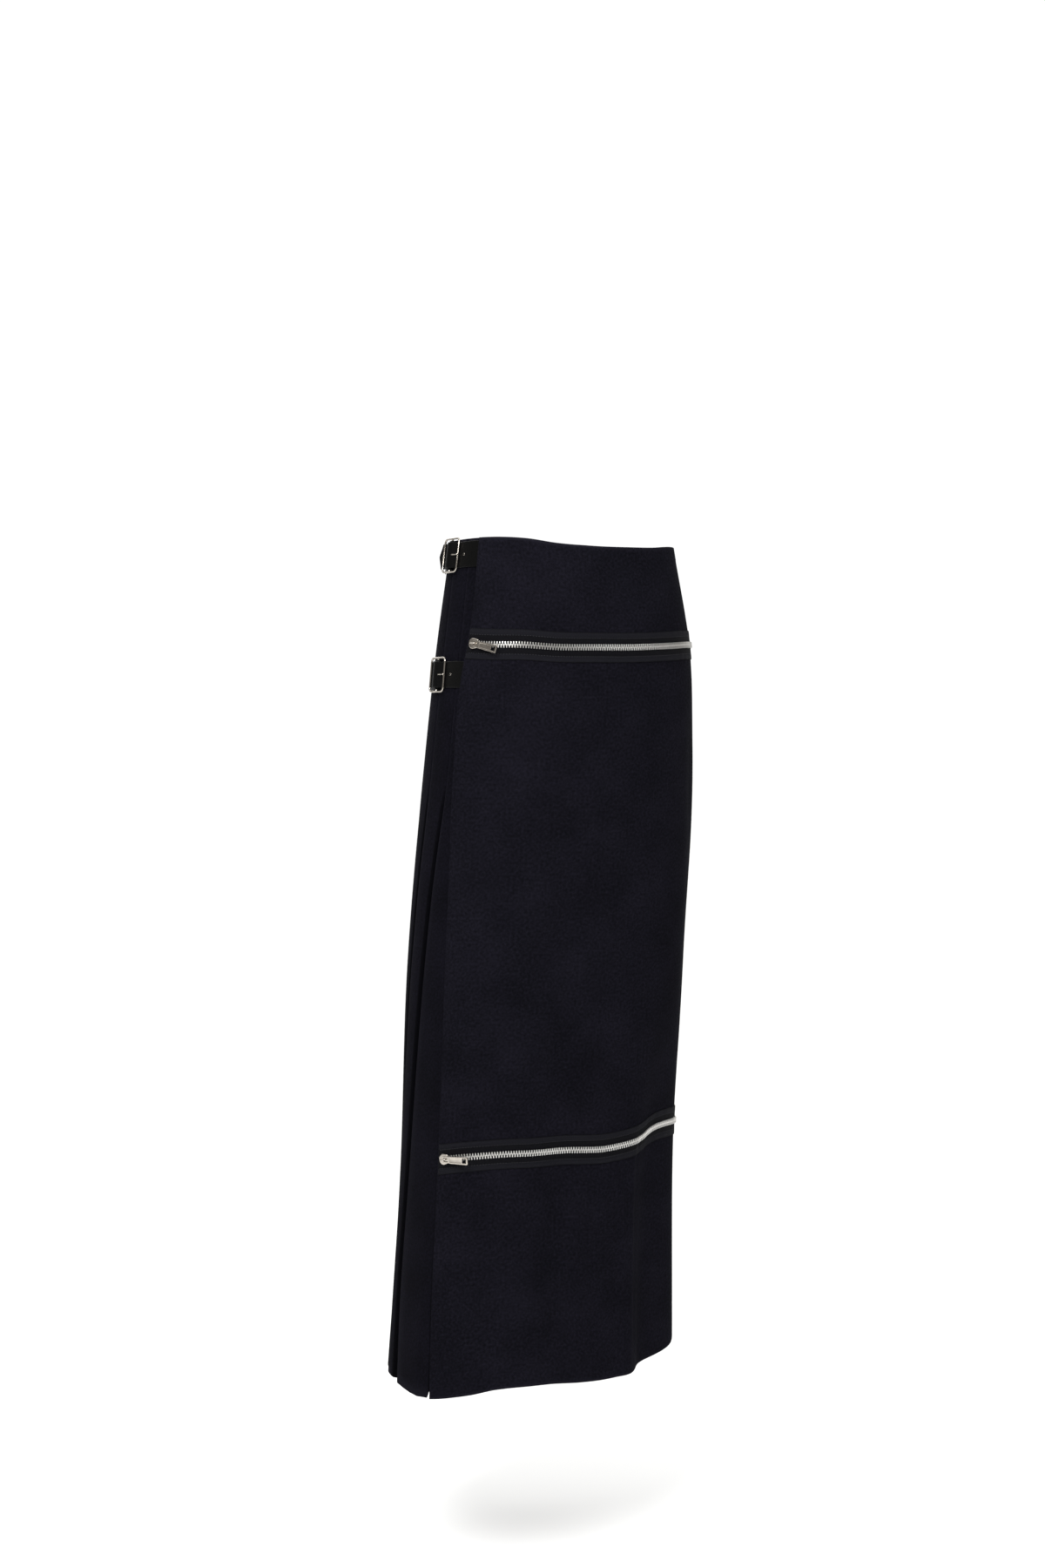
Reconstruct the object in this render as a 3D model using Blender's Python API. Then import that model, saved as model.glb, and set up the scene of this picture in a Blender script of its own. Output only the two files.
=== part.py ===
"""Maxi wrap kilt: a flat over-apron crossed by two exposed zips, a plain under-apron behind it,
a knife-pleated back, and two leather straps that pass through nickel buckles at the right hip.

Metres, +Z up. The origin is the centre of the waist ring, where the wearer holds the garment.
The front faces -Y, and the wearer's right hip, where the apron ends, is at -X.
A heading is an angle round the garment seen from above: 0 left side seam, 90 centre back,
180 right hip, 270 centre front. A drop is a distance below the waist edge.
"""
from collections import namedtuple
from math import cos, pi, radians, sin

import bpy
import numpy as np
from mathutils import Matrix, Vector

MM = 0.001

# Cloth and seams
CLOTH = 1.4 * MM
GAP = 0.3 * MM
LENGTH = 948 * MM
UPPER_ZIP_DROP = 116.5 * MM
LOWER_ZIP_DROP = 684.5 * MM
SIDE_SEAM = 362.0                    # heading where the apron is sewn to the pleats, left side

# Zips
TAPE_HEIGHT = 13.2 * MM
TAPE_THICK = 0.9 * MM
TAPE_INSET = 2.0 * MM                # from the apron's free edge to the end of the tape
CHAIN_HEIGHT = 7.0 * MM
CHAIN_THICK = 2.4 * MM
SLIDER_INSET = 11.5 * MM             # from the apron's free edge to the middle of the slider
SLIDER_LENGTH = 12.0 * MM
SLIDER_BASE = TAPE_THICK + 2 * GAP
SLIDER_THICK = 3.2 * MM
SLIDER_SHOULDER = 6.0 * MM           # half the slider's height where it is widest
SLIDER_NOSE = 3.7 * MM               # half its height at the end by the apron's edge
SLIDER_MOUTH = 4.7 * MM              # half its height at the end where the chain comes out
SLIDER_BEVEL = 0.6 * MM
BRIDGE_WIDTH = 1.8 * MM              # across the zip
BRIDGE_HALF_LENGTH = 4.0 * MM        # along the zip
BRIDGE_HEIGHT = 3.3 * MM
BRIDGE_STOCK = 1.2 * MM
BRIDGE_FOOT = 0.7 * MM               # sunk into the slider
BRIDGE_CHAMFER = 1.5 * MM
PULL_LENGTH = 32.0 * MM
PULL_THICK = 1.3 * MM
PULL_NECK_HALF, PULL_NECK_END = 3.5 * MM, 7.0 * MM
PULL_WIDE_HALF, PULL_WIDE_START = 4.3 * MM, 9.0 * MM
PULL_CORNER = 1.0 * MM
PULL_SLOT_HALF, PULL_SLOT_END = 2.15 * MM, 6.4 * MM
PULL_WINDOW = (25.0 * MM, 30.2 * MM)
PULL_GROOVE = (9.0 * MM, 23.4 * MM)
PULL_RIM = 1.65 * MM                 # metal left beside the window and the groove
PULL_GROOVE_DEPTH = 0.35 * MM
PULL_DROOP = radians(9)              # how far the pull hangs below the line of its zip
PULL_TILT = radians(2)               # its outer end leans towards the cloth
PIVOT_HEIGHT = SLIDER_BASE + SLIDER_THICK + 1.05 * MM

# Straps and buckles
STRAP_WIDTH = 28 * MM
STRAP_THICK = 1.8 * MM
STRAP_TUCK = 14 * MM                 # length of strap sewn under the apron's edge
STRAP_TIP_CUT = 5 * MM               # how far the corners of the tip are cut back
SPARE_HOLE_INSET = 8 * MM            # behind the start of the straight stretch of strap
HOLE_RADIUS = 1.5 * MM
PRONG_SLOT = (-9 * MM, 0.5 * MM)     # the hole that the prong is in, from the centre bar
TAB_THICK = 1.2 * MM
TAB_LIFT = 4 * GAP                   # the tab's long end stands off the pleats' own outside
TAB_LONG_END, TAB_SHORT_END = 34 * MM, 7 * MM
TAB_NOTCH = (-5 * MM, 3.2 * MM)      # clears the prong's root, from the centre bar
TAB_NOTCH_HALF = 1.9 * MM
WIRE_RADIUS = 1.5 * MM               # buckle frame
BAR_RADIUS = 1.2 * MM                # buckle's centre bar
PRONG_RADIUS = 0.8 * MM
FRAME_WIDTH = 29 * MM                # between the middles of the two outer bars
FRAME_HEIGHT = 37 * MM               # between the middles of the two side bars
FRAME_CORNER = 4 * MM
FRAME_START = 3 * MM                 # from the start of the straight stretch of strap to the first bar
BAR_DIP = 1.5 * MM                   # the centre bar lies this far behind the frame
BAR_BEND = (1.2 * MM, 2.8 * MM)      # the bar comes down between these distances from its ends
PRONG_OVERHANG = 2.6 * MM            # past the frame's first bar
STRAP_HUMP = BAR_RADIUS + 2 * PRONG_RADIUS + STRAP_THICK / 2 + 3 * GAP

# The apron's edge stands off the pleats by a strap and the apron's own cloth.
EDGE_LIFT = STRAP_THICK + 3 * GAP + CLOTH
LIFT_START, LIFT_END = 204.0, 250.0  # headings between which the apron comes down to the body of the skirt

# Shape of the skirt's outside, one row a level: half widths and depths from the centre, in mm.
Section = namedtuple("Section", "drop half_width front_depth back_depth centre_x centre_y front_square")
SECTIONS = (
    Section(0, 134.5, 96, 98, -1, 5, 2.25),
    Section(120, 151, 107, 118, -0.5, 3.5, 2.4),
    Section(235, 161, 109.5, 130, -0.5, 7, 2.2),
    Section(480, 160.5, 110.5, 150, -11, 22, 2.8),
    Section(700, 159.5, 99, 160, -11.5, 34.5, 2.7),
    Section(950, 170, 102.5, 178, -10, 41.5, 2.1),
)
BACK_SQUARE = 2.2

# How far each level line of the cloth hangs above (+) or below (-) level round the body, in mm.
Hang = namedtuple("Hang", "heading waist upper_zip lower_zip hem")
HANGS = (
    Hang(0, 0, 6, 16, 38),
    Hang(50, 0, 3, 9, 15),
    Hang(90, 0, 0, 2, 4),
    Hang(150, 3, 2, 0, 0),
    Hang(190, 5, 4, -3.5, -7.5),
    Hang(205, 5, 1.5, 3.5, -0.5),
    Hang(219, 3, 1, 6.5, 6.5),
    Hang(232, -1, -1, 6, 7.5),
    Hang(255, -3.5, -1, 5.5, 6),
    Hang(285, -3.5, 0, 3.5, 4),
    Hang(308, -2, 2.5, 9.5, 6),
    Hang(325, 1, 5, 19.5, 11.5),
    Hang(360, 0, 6, 16, 38),
)

# Soft hanging folds of the apron, pushed in from the outside; drops and depths in mm.
Fold = namedtuple("Fold", "heading half_angle start_drop full_drop depth")
FOLDS = (
    Fold(321.5, 19.5, 470, 830, 15.5),
    Fold(299.5, 8, 560, 900, -2),
    Fold(248, 16, 140, 420, 3),
    Fold(213, 8, 640, 760, 2.5),
)

# The apron's free edge and the first open fold behind it, as headings at drops in mm.
EdgeLine = namedtuple("EdgeLine", "drop apron_edge first_fold")
EDGE_LINES = (
    EdgeLine(0, 194.8, 187.5),
    EdgeLine(90, 194.8, 188.3),
    EdgeLine(170, 191.3, 187.5),
    EdgeLine(285, 191.2, 186.0),
    EdgeLine(385, 193.8, 181.8),
    EdgeLine(525, 195.0, 176.8),
    EdgeLine(700, 193.0, 169.5),
    EdgeLine(850, 191.6, 165.2),
    EdgeLine(950, 191.4, 166.0),
)

# Knife pleats: stitched flat to the hip, then opening to the hem; mm.
PLEAT_COUNT = 13
LAYER_PITCH = 2.2 * MM               # between the middles of two layers pressed together
MOST_UNDERLAY = 0.5                  # of a pleat's face
PLEAT_CLOTH = 72 * MM                # cloth taken up by one pleat, face and underlay
SEAM_SETBACK = 0.12                  # degrees between the pleats' ends and the pieces they are sewn to
STEP_RUN = 0.32                      # of a pleat's face: how soon the cloth rises past the last fold
Opening = namedtuple("Opening", "drop depth recess")
OPENINGS = (
    Opening(0, 4.4, 4.4),
    Opening(285, 4.4, 4.4),
    Opening(400, 8, 6),
    Opening(700, 15, 9),
    Opening(950, 20, 11),
)
BACK_DROPS = (0, 60, 125, 205, 285, 345, 420, 505, 595, 685, 775, 862, 948)

UPPER_PANEL_DROPS = (0, 18, 36, 65, 99.5, 116.5)
MIDDLE_PANEL_DROPS = (116.5, 133.5, 152, 170, 210, 265, 330, 400, 470, 535, 590, 632, 667.5, 684.5)
LOWER_PANEL_DROPS = (684.5, 701.5, 748, 798, 848, 898, 948)
APRON_COLUMNS = 41
UNDER_START, UNDER_END = 3, 36       # columns of the apron that the under-apron lies behind

# Each strap's middle line and the length that lies on the cloth before it runs straight; mm.
Strap = namedtuple("Strap", "name drop wrap tail_length tail_fall")
STRAPS = (
    Strap("waist", 17.5, 31, 12, 0),
    Strap("hip", 151, 30, 8, 3),
)

WOOL = ("navy_wool", (0.0080, 0.0080, 0.0115), 0.85, 0.0)
WOOL_UNDER = ("navy_wool_under", (0.0070, 0.0070, 0.0100), 0.88, 0.0)
WOOL_PLEATS = ("navy_wool_pleats", (0.0065, 0.0065, 0.0095), 0.85, 0.0)
TAPE = ("charcoal_zip_tape", (0.0100, 0.0100, 0.0120), 0.8, 0.0)
CHAIN = ("silver_zip_teeth", (0.62, 0.60, 0.57), 0.35, 1.0)
NICKEL = ("polished_nickel", (0.66, 0.62, 0.57), 0.22, 1.0)
LEATHER = ("black_leather", (0.0110, 0.0110, 0.0115), 0.5, 0.0)


def smooth(x, knots, values):
    """A cubic curve through the knots, level past its two ends."""
    knots = np.asarray(knots, float)
    values = np.asarray(values, float)
    slopes = np.gradient(values, knots)
    x = np.clip(x, knots[0], knots[-1])
    k = np.clip(np.searchsorted(knots, x, side="right") - 1, 0, len(knots) - 2)
    span = knots[k + 1] - knots[k]
    u = (x - knots[k]) / span
    return (
        (2 * u**3 - 3 * u**2 + 1) * values[k]
        + (u**3 - 2 * u**2 + u) * span * slopes[k]
        + (3 * u**2 - 2 * u**3) * values[k + 1]
        + (u**3 - u**2) * span * slopes[k + 1]
    )


def ease(u):
    """0 to 1 with level ends."""
    u = np.clip(u, 0.0, 1.0)
    return u * u * (3 - 2 * u)


def column(rows, name, scale=MM):
    return [getattr(row, name) * scale for row in rows]


NORMAL_STEP = 0.4                    # degrees to each side, for the direction across the surface
WALK_STEP = 0.25                     # degrees
SECTION_DROPS = column(SECTIONS, "drop")
EDGE_DROPS = column(EDGE_LINES, "drop")


def section(drop, name):
    scale = 1.0 if name == "front_square" else MM
    return smooth(drop, SECTION_DROPS, column(SECTIONS, name, scale))


def apron_edge(drop):
    return smooth(drop, EDGE_DROPS, column(EDGE_LINES, "apron_edge", 1.0))


def first_fold(drop):
    return smooth(drop, EDGE_DROPS, column(EDGE_LINES, "first_fold", 1.0))


def hang(drop, heading):
    """Height of the cloth above its level line."""
    levels = (0, UPPER_ZIP_DROP, LOWER_ZIP_DROP, LENGTH)
    headings = column(HANGS, "heading", 1.0)
    around = np.mod(heading, 360.0)
    lines = [smooth(around, headings, column(HANGS, name)) for name in Hang._fields[1:]]
    drop = np.broadcast_to(drop, np.shape(lines[0]))
    k = np.clip(np.searchsorted(levels, drop, side="right") - 1, 0, len(levels) - 2)
    low = np.choose(k, lines[:-1])
    high = np.choose(k, lines[1:])
    start = np.choose(k, levels[:-1])
    end = np.choose(k, levels[1:])
    return low + (high - low) * (drop - start) / (end - start)


def plan(drop, heading):
    """The skirt's outside seen from above, at one drop and heading."""
    turn = np.radians(heading)
    c, s = np.cos(turn), np.sin(turn)
    depth = np.where(s < 0, section(drop, "front_depth"), section(drop, "back_depth"))
    square = np.where(s < 0, section(drop, "front_square"), BACK_SQUARE)
    width = section(drop, "half_width")
    radius = (abs(c / width) ** square + abs(s / depth) ** square) ** (-1 / square)
    for fold in FOLDS:
        away = np.clip((np.mod(heading, 360.0) - fold.heading) / fold.half_angle, -1, 1)
        ramp = ease((drop - fold.start_drop * MM) / ((fold.full_drop - fold.start_drop) * MM))
        radius = radius - fold.depth * MM * ramp * 0.5 * (1 + np.cos(pi * away))
    return np.stack([section(drop, "centre_x") + radius * c, section(drop, "centre_y") + radius * s], -1)


def surface(drop, heading, out=0.0):
    """Points on the skirt's outside, moved out along the outward normal."""
    drop, heading, out = np.broadcast_arrays(
        np.asarray(drop, float), np.asarray(heading, float), np.asarray(out, float))
    along = plan(drop, heading + NORMAL_STEP) - plan(drop, heading - NORMAL_STEP)
    along /= np.linalg.norm(along, axis=-1, keepdims=True)
    normal = np.stack([along[..., 1], -along[..., 0]], -1)
    flat = plan(drop, heading) + normal * out[..., None]
    return np.concatenate([flat, (hang(drop, heading) - drop)[..., None]], -1)


def apron_out(heading):
    """How far the apron's outer face stands off the skirt's own outside."""
    return EDGE_LIFT * (1 - ease((heading - LIFT_START) / (LIFT_END - LIFT_START)))


def heading_at(drop, start_heading, distance):
    """The heading reached from start_heading by walking a distance round the outside (+ = increasing)."""
    step = WALK_STEP if distance > 0 else -WALK_STEP
    headings = start_heading + step * np.arange(240)
    points = plan(drop, headings)
    run = np.concatenate([[0], np.cumsum(np.linalg.norm(np.diff(points, axis=0), axis=1))])
    return float(np.interp(abs(distance), run, headings))


def make_material(spec):
    name, colour, roughness, metallic = spec
    material = bpy.data.materials.get(name)
    if material is None:
        material = bpy.data.materials.new(name)
        material.use_nodes = True
        shader = material.node_tree.nodes["Principled BSDF"]
        shader.inputs["Base Color"].default_value = (*colour, 1.0)
        shader.inputs["Roughness"].default_value = roughness
        shader.inputs["Metallic"].default_value = metallic
    return material


def add_object(name, points, faces, spec, place=None):
    mesh = bpy.data.meshes.new(name)
    mesh.from_pydata([tuple(map(float, p)) for p in points], [], faces)
    mesh.validate()
    mesh.shade_smooth()
    mesh.set_sharp_from_angle(angle=radians(35))
    thing = bpy.data.objects.new(name, mesh)
    bpy.context.scene.collection.objects.link(thing)
    if spec is not None:
        mesh.materials.append(make_material(spec))
    if place is not None:
        thing.matrix_world = place
    return thing


def helper_shape(thing):
    """A shape that only cuts, or is joined into, another one."""
    thing.hide_render = True
    thing.display_type = "WIRE"
    return thing


def combine(thing, other, operation):
    modifier = thing.modifiers.new(operation.lower(), "BOOLEAN")
    modifier.operation = operation
    modifier.solver = "EXACT"
    modifier.object = helper_shape(other)


def wall(name, outer, inner, spec):
    """A closed sheet between two grids of points, rows going down and columns going round."""
    rows, columns = outer.shape[:2]
    points = np.concatenate([outer.reshape(-1, 3), inner.reshape(-1, 3)])
    half = rows * columns
    faces = []

    def quad(a, b, c, d):
        faces.append((a, b, c, d))

    for r in range(rows - 1):
        for c in range(columns - 1):
            a = r * columns + c
            b = a + 1
            quad(a, a + columns, b + columns, b)
            quad(half + a, half + b, half + b + columns, half + a + columns)
    for c in range(columns - 1):
        last = (rows - 1) * columns
        quad(c, c + 1, half + c + 1, half + c)
        quad(last + c + 1, last + c, half + last + c, half + last + c + 1)
    for r in range(rows - 1):
        a = r * columns
        b = a + columns - 1
        quad(a + columns, a, half + a, half + a + columns)
        quad(b, b + columns, half + b + columns, half + b)
    return add_object(name, points, faces, spec)


def apron_headings(drops):
    """A grid of headings from the free edge to the side seam, one row a drop."""
    share = np.linspace(0, 1, APRON_COLUMNS)
    edge = apron_edge(drops)[:, None]
    return edge + (SIDE_SEAM - edge) * share


def apron_panel(name, drops_mm, trim_top, trim_bottom):
    drops = np.array(drops_mm) * MM
    headings = apron_headings(drops)
    drops[0] += trim_top
    drops[-1] -= trim_bottom
    out = apron_out(headings)
    wall(name, surface(drops[:, None], headings, out), surface(drops[:, None], headings, out - CLOTH), WOOL)


def under_apron():
    drops = np.array(BACK_DROPS) * MM
    headings = apron_headings(drops)[:, UNDER_START:UNDER_END + 1]
    out = apron_out(headings) - EDGE_LIFT
    wall("under_apron", surface(drops[:, None], headings, out),
         surface(drops[:, None], headings, out - CLOTH), WOOL_UNDER)


def pleat_path(drop, depth, recess):
    """The middle line of the pleated cloth at one drop, as (distance round, offset) pairs and headings."""
    edge = apron_edge(drop)
    start = edge + (SIDE_SEAM - edge) * UNDER_START / (APRON_COLUMNS - 1)
    headings = np.linspace(start - SEAM_SETBACK, SIDE_SEAM - 360 + SEAM_SETBACK, 400)
    points = plan(drop, headings)
    run = np.concatenate([[0], np.cumsum(np.linalg.norm(np.diff(points, axis=0), axis=1))])
    first = np.interp(-first_fold(drop), -headings, run)
    face = (run[-1] - first) / PLEAT_COUNT
    underlay = min(MOST_UNDERLAY * face, (PLEAT_CLOTH - face) / 2)
    top = -CLOTH / 2
    bottom = top - depth
    path = [(first * share, top) for share in (0, 0.25, 0.5, 0.75)]
    for k in range(PLEAT_COUNT):
        fold = first + k * face
        path += [
            (fold, top),
            (fold, top - LAYER_PITCH),
            (fold - underlay, bottom + LAYER_PITCH),
            (fold - underlay, bottom),
            (fold, top - recess),
            (fold + STEP_RUN * face, top - 0.1 * recess),
            (fold + (1 + STEP_RUN) / 2 * face, top),
        ]
    path.append((run[-1], top))
    path = np.array(path)
    return np.interp(path[:, 0], run, headings), path[:, 1]


def thicken(points):
    """Two lines, half a cloth's thickness to each side of a flat line of points."""
    step = np.diff(points, axis=0)
    step /= np.linalg.norm(step, axis=1, keepdims=True)
    before = np.vstack([step[:1], step])
    after = np.vstack([step, step[-1:]])
    side_before = np.stack([before[:, 1], -before[:, 0]], -1)
    side_after = np.stack([after[:, 1], -after[:, 0]], -1)
    mitre = side_before + side_after
    mitre /= np.linalg.norm(mitre, axis=1, keepdims=True)
    reach = 1 / np.clip((mitre * side_before).sum(axis=1), 0.6, 1)
    offset = mitre * (reach * CLOTH / 2)[:, None]
    return points - offset, points + offset


def pleated_back():
    drops = np.array(BACK_DROPS) * MM
    depths = smooth(drops, column(OPENINGS, "drop"), column(OPENINGS, "depth"))
    recesses = smooth(drops, column(OPENINGS, "drop"), column(OPENINGS, "recess"))
    outer, inner = [], []
    for drop, depth, recess in zip(drops, depths, recesses):
        headings, offsets = pleat_path(drop, depth, recess)
        middle = surface(drop, headings, offsets)
        outside, inside = thicken(middle[:, :2])
        height = middle[:, 2:]
        outer.append(np.hstack([outside, height]))
        inner.append(np.hstack([inside, height]))
    outer, inner = np.array(outer)[:, ::-1], np.array(inner)[:, ::-1]
    wall("pleated_back", outer, inner, WOOL_PLEATS)


def zip_strip(name, zip_drop, above, height, inset, thick, spec):
    """A strip along a zip: above is from the zip's line up to the strip's top edge."""
    top = zip_drop - above
    drops = np.array([top, top + height])
    start = apron_edge(zip_drop)
    whole = start + (SIDE_SEAM - start) * np.linspace(0, 1, APRON_COLUMNS)
    first = heading_at(zip_drop, float(start), inset)
    line = np.concatenate([[first], whole[whole > first + 0.5]])
    # The strip's ends keep the slant of the free edge.
    headings = line[None, :] + (apron_edge(drops) - start)[:, None] * (SIDE_SEAM - line) / (SIDE_SEAM - start)
    out = apron_out(headings) + GAP
    wall(name, surface(drops[:, None], headings, out + thick), surface(drops[:, None], headings, out), spec)


def local_frame(drop, heading, out, turn):
    """A frame on the cloth: X along it (turn +1 = increasing heading), Y up it, Z outwards."""
    here = Vector(surface(drop, heading, out))
    along = Vector(surface(drop, heading + 1, out)) - Vector(surface(drop, heading - 1, out))
    along = (turn * along).normalized()
    up = Vector(surface(drop - 12 * MM, heading, out)) - Vector(surface(drop + 12 * MM, heading, out))
    outward = along.cross(up) * turn
    outward.normalize()
    along = (along - outward * along.dot(outward)).normalized()
    up = outward.cross(along) * turn
    up.normalize()
    frame = Matrix((along, up, outward)).transposed().to_4x4()
    frame.translation = here
    return frame


def prism(name, outline, low, high, spec, place, axis="z"):
    """An outline of (a, b) pairs pushed between two heights; axis y takes the pairs as X and Z."""
    count = len(outline)
    if axis == "z":
        points = [(a, b, h) for h in (low, high) for a, b in outline]
    else:
        points = [(a, h, b) for h in (high, low) for a, b in outline]
    faces = [tuple(reversed(range(count))), tuple(range(count, 2 * count))]
    for k in range(count):
        n = (k + 1) % count
        faces.append((k, n, count + n, count + k))
    return add_object(name, points, faces, spec, place)


def block(name, x, y, z, place):
    outline = [(x[0], y[0]), (x[1], y[0]), (x[1], y[1]), (x[0], y[1])]
    return prism(name, outline, z[0], z[1], None, place)


def bevel(thing, width, segments=2):
    modifier = thing.modifiers.new("bevel", "BEVEL")
    modifier.width = width
    modifier.segments = segments
    modifier.limit_method = "ANGLE"
    modifier.angle_limit = radians(40)
    modifier.use_clamp_overlap = True


def tube(name, path, radius, plane_normal, spec, place, closed=False, sides=8):
    """A round bar along a flat path of points."""
    path = [Vector(p) for p in path]
    normal = Vector(plane_normal)
    count = len(path)
    points = []
    for k, here in enumerate(path):
        before = path[k - 1] if closed or k else None
        after = path[(k + 1) % count] if closed or k < count - 1 else None
        back = (here - before).normalized() if before is not None else None
        ahead = (after - here).normalized() if after is not None else None
        along = ((back or ahead) + (ahead or back)).normalized()
        side = normal.cross(along).normalized()
        stretch = 1 / max(along.dot(back or ahead), 0.6)
        for j in range(sides):
            turn = 2 * pi * j / sides
            points.append(here + side * (radius * stretch * cos(turn)) + normal * (radius * sin(turn)))
    faces = []
    for k in range(count if closed else count - 1):
        a, b = k * sides, (k + 1) % count * sides
        for j in range(sides):
            n = (j + 1) % sides
            faces.append((a + j, a + n, b + n, b + j))
    if not closed:
        faces.append(tuple(reversed(range(sides))))
        faces.append(tuple(range((count - 1) * sides, count * sides)))
    return add_object(name, points, faces, spec, place)


def arc(centre, radius, start, end, steps):
    """Points (a, b) round a centre; angles in degrees."""
    turns = np.radians(np.linspace(start, end, steps))
    return [(centre[0] + radius * cos(t), centre[1] + radius * sin(t)) for t in turns]


def slider(name, place):
    half = SLIDER_LENGTH / 2
    lower_half = [(-half, -SLIDER_NOSE), (-0.55 * half, -SLIDER_SHOULDER), (0.1 * half, -SLIDER_SHOULDER),
                  (half, -SLIDER_MOUTH)]
    outline = lower_half + [(x, -y) for x, y in reversed(lower_half)]
    top = SLIDER_BASE + SLIDER_THICK
    body = prism(name, outline, SLIDER_BASE, top, NICKEL, place)
    bevel(body, SLIDER_BEVEL)
    foot = top - BRIDGE_FOOT
    crown = top + BRIDGE_HEIGHT
    under = crown - BRIDGE_STOCK
    out_half, in_half = BRIDGE_HALF_LENGTH, BRIDGE_HALF_LENGTH - BRIDGE_STOCK
    out_cut, in_cut = BRIDGE_CHAMFER, 0.6 * BRIDGE_CHAMFER
    inside = [(in_half - in_cut, under), (in_half, under - in_cut), (in_half, foot)]
    outside = [(out_half, foot), (out_half, crown - out_cut), (out_half - out_cut, crown)]
    right = inside + outside
    arch = right + [(-x, z) for x, z in reversed(right)]
    bridge = prism(name + "_bridge", arch, -BRIDGE_WIDTH / 2, BRIDGE_WIDTH / 2, None, place, axis="y")
    combine(body, bridge, "UNION")


def pull_tab(name, place):
    """A plate whose slot lies round the slider's bridge; the bar at its end is the hinge."""
    half_thick = PULL_THICK / 2
    outline = [(-half_thick, -PULL_NECK_HALF), (PULL_NECK_END, -PULL_NECK_HALF),
               (PULL_WIDE_START, -0.9 * PULL_WIDE_HALF), (PULL_LENGTH - PULL_CORNER, -PULL_WIDE_HALF),
               (PULL_LENGTH, PULL_CORNER - PULL_WIDE_HALF)]
    outline += [(x, -y) for x, y in reversed(outline)]
    plate = prism(name, outline, -half_thick, half_thick, NICKEL, place)
    through = (-PULL_THICK, PULL_THICK)
    inside_rim = PULL_WIDE_HALF - PULL_RIM
    cuts = (
        ("_slot", (half_thick, PULL_SLOT_END), PULL_SLOT_HALF, through),
        ("_window", PULL_WINDOW, inside_rim, through),
        ("_groove", PULL_GROOVE, inside_rim, (half_thick - PULL_GROOVE_DEPTH, PULL_THICK)),
    )
    for suffix, along, half_width, heights in cuts:
        combine(plate, block(name + suffix, along, (-half_width, half_width), heights, place), "DIFFERENCE")


def zip_fastener(prefix, zip_drop):
    half_chain = CHAIN_HEIGHT / 2
    tape_start = half_chain + GAP
    zip_strip(prefix + "_zip_tape_top", zip_drop, tape_start + TAPE_HEIGHT, TAPE_HEIGHT, TAPE_INSET,
              TAPE_THICK, TAPE)
    zip_strip(prefix + "_zip_tape_bottom", zip_drop, -tape_start, TAPE_HEIGHT, TAPE_INSET, TAPE_THICK, TAPE)
    zip_strip(prefix + "_zip_chain", zip_drop, half_chain, CHAIN_HEIGHT,
              SLIDER_INSET + SLIDER_LENGTH / 2 + GAP, CHAIN_THICK, CHAIN)
    heading = heading_at(zip_drop, float(apron_edge(zip_drop)), SLIDER_INSET)
    seat = local_frame(zip_drop, heading, float(apron_out(heading)), 1)
    slider(prefix + "_zip_slider", seat)
    hinge = seat @ Matrix.Translation((0, 0, PIVOT_HEIGHT))
    hinge = hinge @ Matrix.Rotation(-PULL_DROOP, 4, "Z") @ Matrix.Rotation(PULL_TILT, 4, "Y")
    pull_tab(prefix + "_zip_pull", hinge)


def band(name, rows, thick, spec):
    """A leather band from rows of middle points (top to bottom) and their outward directions."""
    middle = np.array([[point for point, _ in row] for row in rows])
    outward = np.array([[side for _, side in row] for row in rows])
    return wall(name, middle + outward * thick / 2, middle - outward * thick / 2, spec)


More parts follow.
